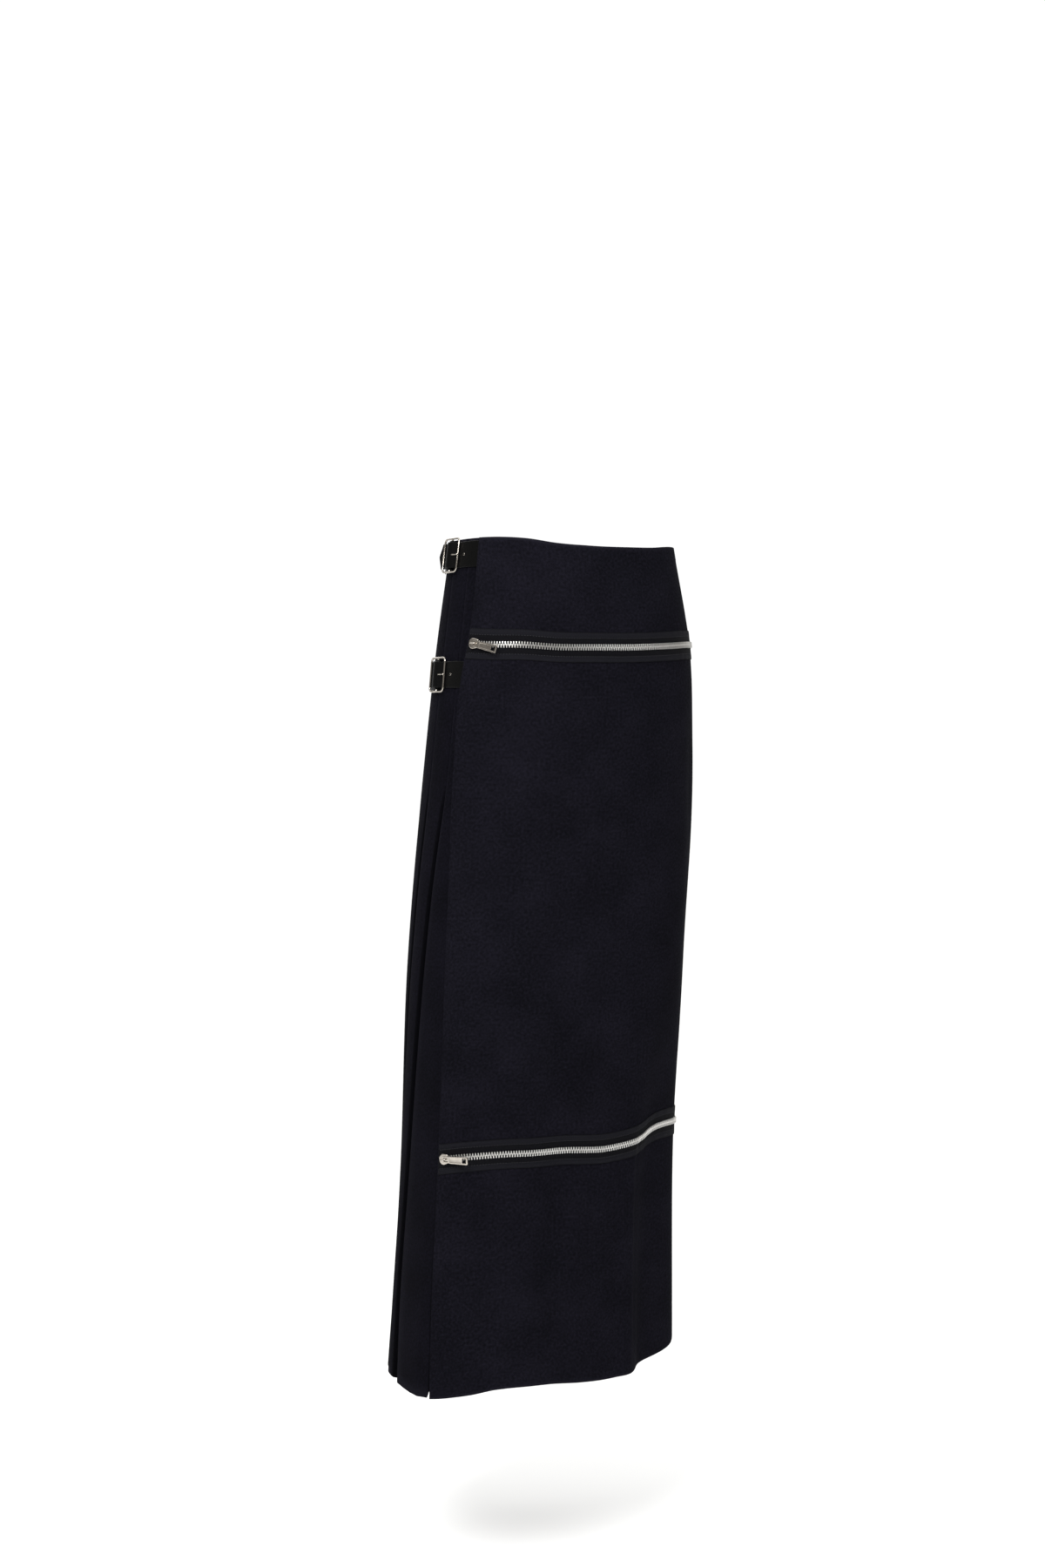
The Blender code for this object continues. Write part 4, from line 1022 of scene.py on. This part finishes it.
def zip_teeth(prefix, zip_drop):
    first = SLIDER_INSET + SLIDER_LENGTH / 2 + 0.6 * MM
    rows = []
    for side, shift in ((1, 0.0), (-1, TOOTH_PITCH / 2)):
        places = along_zip(zip_drop, 0.0, first + shift, TOOTH_PITCH, GAP + TAPE_CLOTH * 0.5)
        rows.append(many("teeth", *tooth_shape(side), places, TEETH))
    chain = join(f"{prefix}_zip_teeth", rows)
    chain.data.set_sharp_from_angle(angle=radians(30))
    settle(chain, f"{prefix}_zip_chain")


def zip_stitching(prefix, zip_drop):
    """Rows of stitches, each a short round of thread whose ends go down into the tape."""
    turns = 2 * pi * np.arange(6) / 6
    rings = [[(share * STITCH_LENGTH, THREAD * wide * cos(turn), THREAD * (rise + wide * sin(turn)))
              for turn in turns] for share, rise, wide in STITCH_ROWS]
    places = []
    for line in (-STITCH_LINE, STITCH_LINE):
        places += along_zip(zip_drop, line, TAPE_INSET + 3 * MM, STITCH_PITCH, GAP + TAPE_CLOTH - STITCH_SINK)
    rows = many(f"{prefix}_zip_stitching", np.concatenate(rings), loft(rings), places, THREAD_BLACK)
    settle(rows)


def mirrored(side):
    """A whole outline from the half of it on the -Y side."""
    return side + [(x, -y) for x, y in reversed(side)]


def slider(prefix, place):
    """The slider's body, with the bridge that holds the pull."""
    outline = mirrored([(share * SLIDER_LENGTH / 2, -y) for share, y in SLIDER_SIDE])
    top = SLIDER_BASE + SLIDER_THICK
    body = prism(f"{prefix}_slider", outline, SLIDER_BASE, top, NICKEL, place)
    soften(body, 0.9 * MM, 4, 30)
    crown = top + BRIDGE_HEIGHT - BRIDGE_STOCK / 2
    reach, bend = BRIDGE_HALF_LENGTH - BRIDGE_STOCK / 2, 1.4 * MM
    path = [(-reach, 0, top - 0.6 * MM), (-reach, 0, crown - 1.5 * MM)]
    path += [(x, 0, z) for x, z in arc((bend - reach, crown - bend), bend, 180, 90, 6)]
    path += [(-x, 0, z) for x, _, z in reversed(path)]
    wide = place @ Matrix.Diagonal((1, BRIDGE_WIDTH / BRIDGE_STOCK, 1, 1))
    combine(body, tube("bridge", path, BRIDGE_STOCK / 2, (0, 1, 0), NICKEL, wide, sides=16), "UNION")
    finish_shape(body, 35)
    settle(body, f"{prefix}_zip_slider")


def pull(prefix, hinge):
    """The plain plate that hangs from the slider's bridge: a slot, a raised rim and a window."""
    outline = mirrored([(x * MM, -y * MM) for x, y in PULL_SIDE])
    plate = prism(f"{prefix}_pull_tab", outline, -PULL_THICK / 2, PULL_THICK / 2, NICKEL, hinge)
    for name, x, wide, z in PULL_CUTS:
        cutter = block(name, [v * MM for v in x], (-wide * MM, wide * MM), [v * MM for v in z], hinge)
        combine(plate, cutter, "DIFFERENCE")
    soften(plate, 0.22 * MM, 3, 35)
    finish_shape(plate, 35)
    settle(plate, f"{prefix}_zip_pull", f"{prefix}_pull")


def zip_fastener(prefix, zip_drop):
    zip_tape(prefix, zip_drop, -1)
    zip_tape(prefix, zip_drop, 1)
    zip_teeth(prefix, zip_drop)
    zip_stitching(prefix, zip_drop)
    heading = walk(zip_drop, apron_edge(zip_drop), SLIDER_INSET)
    seat = local_frame(zip_drop, heading, apron_out(heading), 1)
    slider(prefix, seat)
    hinge = seat @ Matrix.Translation((0, 0, PIVOT_HEIGHT))
    pull(prefix, hinge @ Matrix.Rotation(-PULL_DROOP, 4, "Z") @ Matrix.Rotation(PULL_TILT, 4, "Y"))


# ---------------------------------------------------------------- straps and buckles
# Distances along a strap from where it leaves the body, and heights over the middle of its leather there.
FIRST_BAR, LAST_BAR = FRAME_START, FRAME_START + FRAME_WIDTH
CENTRE_BAR = FRAME_START + FRAME_WIDTH / 2
STRAP_OUT = GAP + STRAP_THICK / 2
BAR_OUT = STRAP_THICK / 2 + GAP + WIRE_RADIUS - BAR_DIP
RING_OUT = STRAP_THICK / 2 + GAP + FRAME_WIRE
HUMP = BAR_OUT + STRAP_HUMP
SLIM = WIRE_RADIUS - FRAME_WIRE      # the wire is slimmer than its solid and keeps to that one's outside


def leather_band(name, path, across, thick, place_of):
    """A leather band along a path of stations: rounded edges, and a creased line beside each."""
    half_width = (across[-1] - across[0]) / 2
    from_edge = half_width - abs(across)
    points = np.array([[place_of(k, y) for k in range(len(path))] for y in across])
    middle, outward = points[..., 0, :], points[..., 1, :]
    line = 0.16 * MM * bell(from_edge - 2.4 * MM, 0.45 * MM)
    half = (thick / 2 * rim(across, thick / 2) - line)[:, None] * rim(path, thick / 2)
    cut = np.stack(np.meshgrid(run_along(middle[len(across) // 2]), across), -1)
    rub = bell(from_edge, 0.8 * MM)[:, None]
    return shell(name, middle, outward, half, cut, LEATHER, rub)


def band_rows(width, thick):
    """Places across a band, close by its edges and at its creased lines; top edge first."""
    lines = np.array([1.7, 2.1, 2.4, 2.7, 3.1, 4.5, 7.5, 10.5]) * MM
    upper = width / 2 - np.concatenate([RIM_STEPS * thick / 2, lines])
    return np.concatenate([upper, [0.0], -upper[::-1]])


def strap_leather(strap, drop, straight, place):
    """The strap: wrapped on the body, straight on, up over the frame's bar and down to its pointed tip."""
    end = LAST_BAR + WIRE_RADIUS + strap.tail_length * MM
    wrapped = np.linspace(walk(drop, apron_edge(drop), STRAP_TUCK), straight, 22)[:-1]
    path = np.concatenate([
        np.linspace(-STRAP_TUCK - strap.wrap * MM, 0, 22)[:-1], np.linspace(0, LAST_BAR, 64),
        np.linspace(LAST_BAR, end - 2 * MM, 14)[1:], end - STRAP_THICK / 2 * RIM_STEPS[::-1]])
    turn = np.array(place.to_3x3())

    def height(x):
        if x <= FIRST_BAR or x >= LAST_BAR:
            past = max(x - LAST_BAR, 0) / (end - LAST_BAR)
            return -strap.tail_fall * MM * past**1.5
        return HUMP * 0.5 * (1 - cos(2 * pi * (x - FIRST_BAR) / FRAME_WIDTH))

    def place_of(k, y):
        if k < len(wrapped):
            point = surface(drop - y, wrapped[k], STRAP_OUT)
            return point, unit(surface(drop - y, wrapped[k], STRAP_OUT + MM) - point)
        tip = 1.7 * STRAP_TIP_CUT * (abs(y) / (STRAP_WIDTH / 2)) ** 1.3 * max(path[k] / end, 0) ** 14
        x = path[k] - tip
        slope = (height(x + 0.1 * MM) - height(x - 0.1 * MM)) / (0.2 * MM)
        return np.array(place @ Vector((x, y, height(x)))), unit(turn @ np.array([-slope, 0, 1]))

    rows = band_rows(BAND_WIDTH, STRAP_THICK)
    leather = leather_band(f"{strap.name}_strap_leather", path, rows, STRAP_THICK, place_of)
    slot_ends = [CENTRE_BAR + x for x in PRONG_SLOT]
    slot = block("slot", slot_ends, (-HOLE_RADIUS, HOLE_RADIUS), (-STRAP_THICK, HUMP + STRAP_THICK), place)
    combine(leather, slot, "DIFFERENCE")
    rim_line = arc((-SPARE_HOLE_INSET, 0), HOLE_RADIUS - EYELET_WIRE / 2, 0, 345, 24)
    combine(leather, prism("hole", rim_line, -2 * STRAP_THICK, 2 * STRAP_THICK, None, place), "DIFFERENCE")
    finish_shape(leather, 40)
    settle(leather, f"{strap.name}_strap")
    eyelet = tube(f"{strap.name}_strap_eyelet", [(x, y, STRAP_THICK / 2 - GAP) for x, y in rim_line],
                  EYELET_WIRE, (0, 0, 1), NICKEL, place, closed=True, sides=10)
    settle(eyelet)


def buckle_frame(strap, place):
    """The ring of wire round the strap, with its centre bar, which dips under the leather."""
    half_height, r = FRAME_HEIGHT / 2 + SLIM, FRAME_CORNER + SLIM
    left, right, high = FIRST_BAR - SLIM + r, LAST_BAR + SLIM - r, half_height - r
    corners = ((right, high, 0), (left, high, 90), (left, -high, 180), (right, -high, 270))
    outline = [(*point, RING_OUT)
               for x, y, turned in corners for point in arc((x, y), r, turned, turned + 90, 10)]
    ring = tube(f"{strap.name}_frame_ring", outline, FRAME_WIRE, (0, 0, 1), NICKEL, place, closed=True)
    upper = [(half_height, RING_OUT), (half_height - BAR_BEND[0], RING_OUT),
             (half_height - BAR_BEND[1], BAR_OUT)]
    bar_path = [(CENTRE_BAR, y, z) for y, z in upper + [(-y, z) for y, z in reversed(upper)]]
    combine(ring, tube("bar", bar_path, BAR_RADIUS, (1, 0, 0), NICKEL, place), "UNION")
    finish_shape(ring, 40)
    settle(ring, f"{strap.name}_buckle_frame")


def buckle_prong(strap, place):
    """The prong: round the centre bar, out over the strap's hump, and down on the frame in a ball tip."""
    wrap = BAR_RADIUS + GAP + PRONG_RADIUS
    rest = RING_OUT + FRAME_WIRE + GAP + PRONG_RADIUS
    rise = np.array([
        (CENTRE_BAR - 3 * MM, BAR_OUT + wrap + 0.35 * MM),
        (CENTRE_BAR - 6.5 * MM, BAR_OUT + wrap + 1.4 * MM),
        (FIRST_BAR + 3 * MM, rest - 0.25 * MM),
        (FIRST_BAR, rest),
        (FIRST_BAR - PRONG_OVERHANG, rest - 0.1 * MM)])
    share, knots = np.linspace(0, 1, 26), np.linspace(0, 1, len(rise))
    path = arc((CENTRE_BAR, BAR_OUT), wrap, -110, 78, 22)
    path += list(zip(smooth(share, knots, rise[:, 0]), smooth(share, knots, rise[:, 1])))
    radii = np.full(len(path), PRONG_RADIUS)
    radii[-len(PRONG_TIP):] *= PRONG_TIP
    prong = tube(f"{strap.name}_prong_wire", [(x, 0, z) for x, z in path], radii, (0, 1, 0), NICKEL, place,
                 sides=16)
    finish_shape(prong, 40)
    settle(prong, f"{strap.name}_buckle_prong")


def buckle_tab(strap, drop, straight, place):
    """The leather loop that holds the centre bar."""
    inverse = place.inverted()
    near = [[inverse @ Vector(surface(drop + y, heading)) for y in (-STRAP_WIDTH / 2, 0.0, STRAP_WIDTH / 2)]
            for heading in np.arange(straight + 10, straight - 60, -1.0)]
    cloth_x = [row[1].x for row in near]
    cloth_height = [max(point.z for point in row) for row in near]
    loop = BAR_RADIUS + GAP + TAB_THICK / 2

    def over_cloth(x):
        return np.interp(x, cloth_x, cloth_height) + TAB_THICK / 2 + TAB_LIFT

    root = CENTRE_BAR + 5 * MM
    path = [(x, over_cloth(x)) for x in np.linspace(CENTRE_BAR + TAB_LONG_END, CENTRE_BAR + 12 * MM, 12)]
    path.append((root, max(BAR_OUT - loop - 1.2 * MM, over_cloth(root))))
    path += arc((CENTRE_BAR, BAR_OUT), loop, -80, -250, 18)
    path.append((CENTRE_BAR + 4 * MM, BAR_OUT + loop - 1.0 * MM))
    path.append((CENTRE_BAR + TAB_SHORT_END, BAR_OUT + loop - 2.2 * MM))
    path = np.array(path)
    run = run_along(path)
    fine = stations(0, run[-1], 70, TAB_THICK / 2)
    path = np.stack([np.interp(fine, run, path[:, 0]), np.interp(fine, run, path[:, 1])], -1)
    step = unit(np.gradient(path, axis=0))
    turn = np.array(place.to_3x3())

    def place_of(k, y):
        outward = turn @ np.array([step[k, 1], 0, -step[k, 0]])
        return np.array(place @ Vector((path[k, 0], y, path[k, 1]))), outward

    rows = band_rows(TAB_WIDTH, TAB_THICK)
    tab = leather_band(f"{strap.name}_tab_leather", fine, rows, TAB_THICK, place_of)
    notch = block("notch", [CENTRE_BAR + x for x in TAB_NOTCH], (-TAB_NOTCH_HALF, TAB_NOTCH_HALF),
                  (BAR_OUT - 2 * loop, BAR_OUT + 2 * loop), place)
    combine(tab, notch, "DIFFERENCE")
    finish_shape(tab, 40)
    settle(tab, f"{strap.name}_buckle_tab")


def strap_and_buckle(strap):
    drop = strap.drop * MM
    straight = walk(drop, apron_edge(drop), -strap.wrap * MM)
    place = local_frame(drop, straight, STRAP_OUT, -1)
    strap_leather(strap, drop, straight, place)
    buckle_frame(strap, place)
    buckle_prong(strap, place)
    buckle_tab(strap, drop, straight, place)


# ---------------------------------------------------------------- the studio
FLOOR_HEIGHT = -1.16
FLOOR_REACH = 40
CAMERA_TURN = radians(-32)
CAMERA_DISTANCE = 3.0
CAMERA_HEIGHT = -0.207
LENS, SENSOR = 60, 36                # mm
FRAME_SHIFT = (-0.0278, -0.0356)     # of the frame's height: the garment stands a little right of the middle
WHITE_WALL = (0.53, 0.848, 0.0)      # the way to the white wall that stands behind the garment
WALL_EDGE = {1: 0.6, 2: 0.9, "interpolation_type": "SMOOTHSTEP"}
CEILING_EDGE = {1: 0.45, 2: 0.75, "interpolation_type": "SMOOTHSTEP"}

Softbox = namedtuple("Softbox", "name spot size watts target")
SOFTBOXES = (
    Softbox("key_softbox", (-1.4, -1.3, 0.95), 1.0, 47, (0, 0, -0.25)),
    Softbox("fill_softbox", (1.2, -2.6, 0.6), 1.8, 3, (0, 0, -0.5)),
    Softbox("back_softbox", (0.4, 2.6, 1.4), 1.6, 12, (0, 0, -0.4)),
)


def studio():
    """A white floor, soft lamps, and a room of grey walls with a white one behind and a white ceiling."""
    corners = [(x * FLOOR_REACH, y * FLOOR_REACH, FLOOR_HEIGHT)
               for x, y in ((-1, -1), (1, -1), (1, 1), (-1, 1))]
    new_object("studio_floor", corners, [(0, 1, 2, 3)], painted_floor())
    world = bpy.data.worlds.new("white_studio")
    bpy.context.scene.world = world
    world.use_nodes = True
    tree = world.node_tree
    toward = add(tree, "TexCoord").outputs["Generated"]
    rear = add(tree, "VectorMath", {"operation": "DOT_PRODUCT", 1: WHITE_WALL}, {0: toward}).outputs["Value"]
    above = add(tree, "SeparateXYZ", links={0: toward}).outputs[2]
    wall = add(tree, "MapRange", WALL_EDGE, {0: rear})
    ceiling = add(tree, "MapRange", CEILING_EDGE, {0: above})
    walls = add(tree, "Mix", {**COLOURS, MIX_A: "#7C7A78", MIX_B: "#DADADA"}, {0: wall})
    room = add(tree, "Mix", {**COLOURS, MIX_B: "#FFFFFF"}, {0: ceiling, MIX_A: walls})
    lead(tree, tree.nodes["Background"], Color=room)
    tree.nodes["Background"].inputs["Strength"].default_value = 1.5
    for softbox in SOFTBOXES:
        light = bpy.data.lights.new(softbox.name, "AREA")
        light.shape = "DISK"
        light.size = softbox.size
        light.energy = softbox.watts
        lamp = bpy.data.objects.new(softbox.name, light)
        lamp.location = softbox.spot
        aim = Vector(softbox.target) - Vector(softbox.spot)
        lamp.rotation_euler = aim.to_track_quat("-Z", "Y").to_euler()
        bpy.context.scene.collection.objects.link(lamp)
    bpy.context.scene.view_settings.view_transform = "Standard"


def camera():
    """A view from three metres away, level and at hip height, turned towards the right hip."""
    lens = bpy.data.cameras.new("camera")
    lens.sensor_fit = "AUTO"
    lens.sensor_width = SENSOR
    lens.lens = LENS
    lens.shift_x, lens.shift_y = FRAME_SHIFT
    lens.clip_start, lens.clip_end = 0.1, 200
    eye = bpy.data.objects.new("camera", lens)
    eye.location = (CAMERA_DISTANCE * sin(CAMERA_TURN), -CAMERA_DISTANCE * cos(CAMERA_TURN), CAMERA_HEIGHT)
    eye.rotation_euler = (radians(90), 0, CAMERA_TURN)
    bpy.context.scene.collection.objects.link(eye)
    bpy.context.scene.camera = eye


camera()
aprons()
pleated_back()
zip_fastener("upper", UPPER_ZIP_DROP)
zip_fastener("lower", LOWER_ZIP_DROP)
for strap in STRAPS:
    strap_and_buckle(strap)
studio()
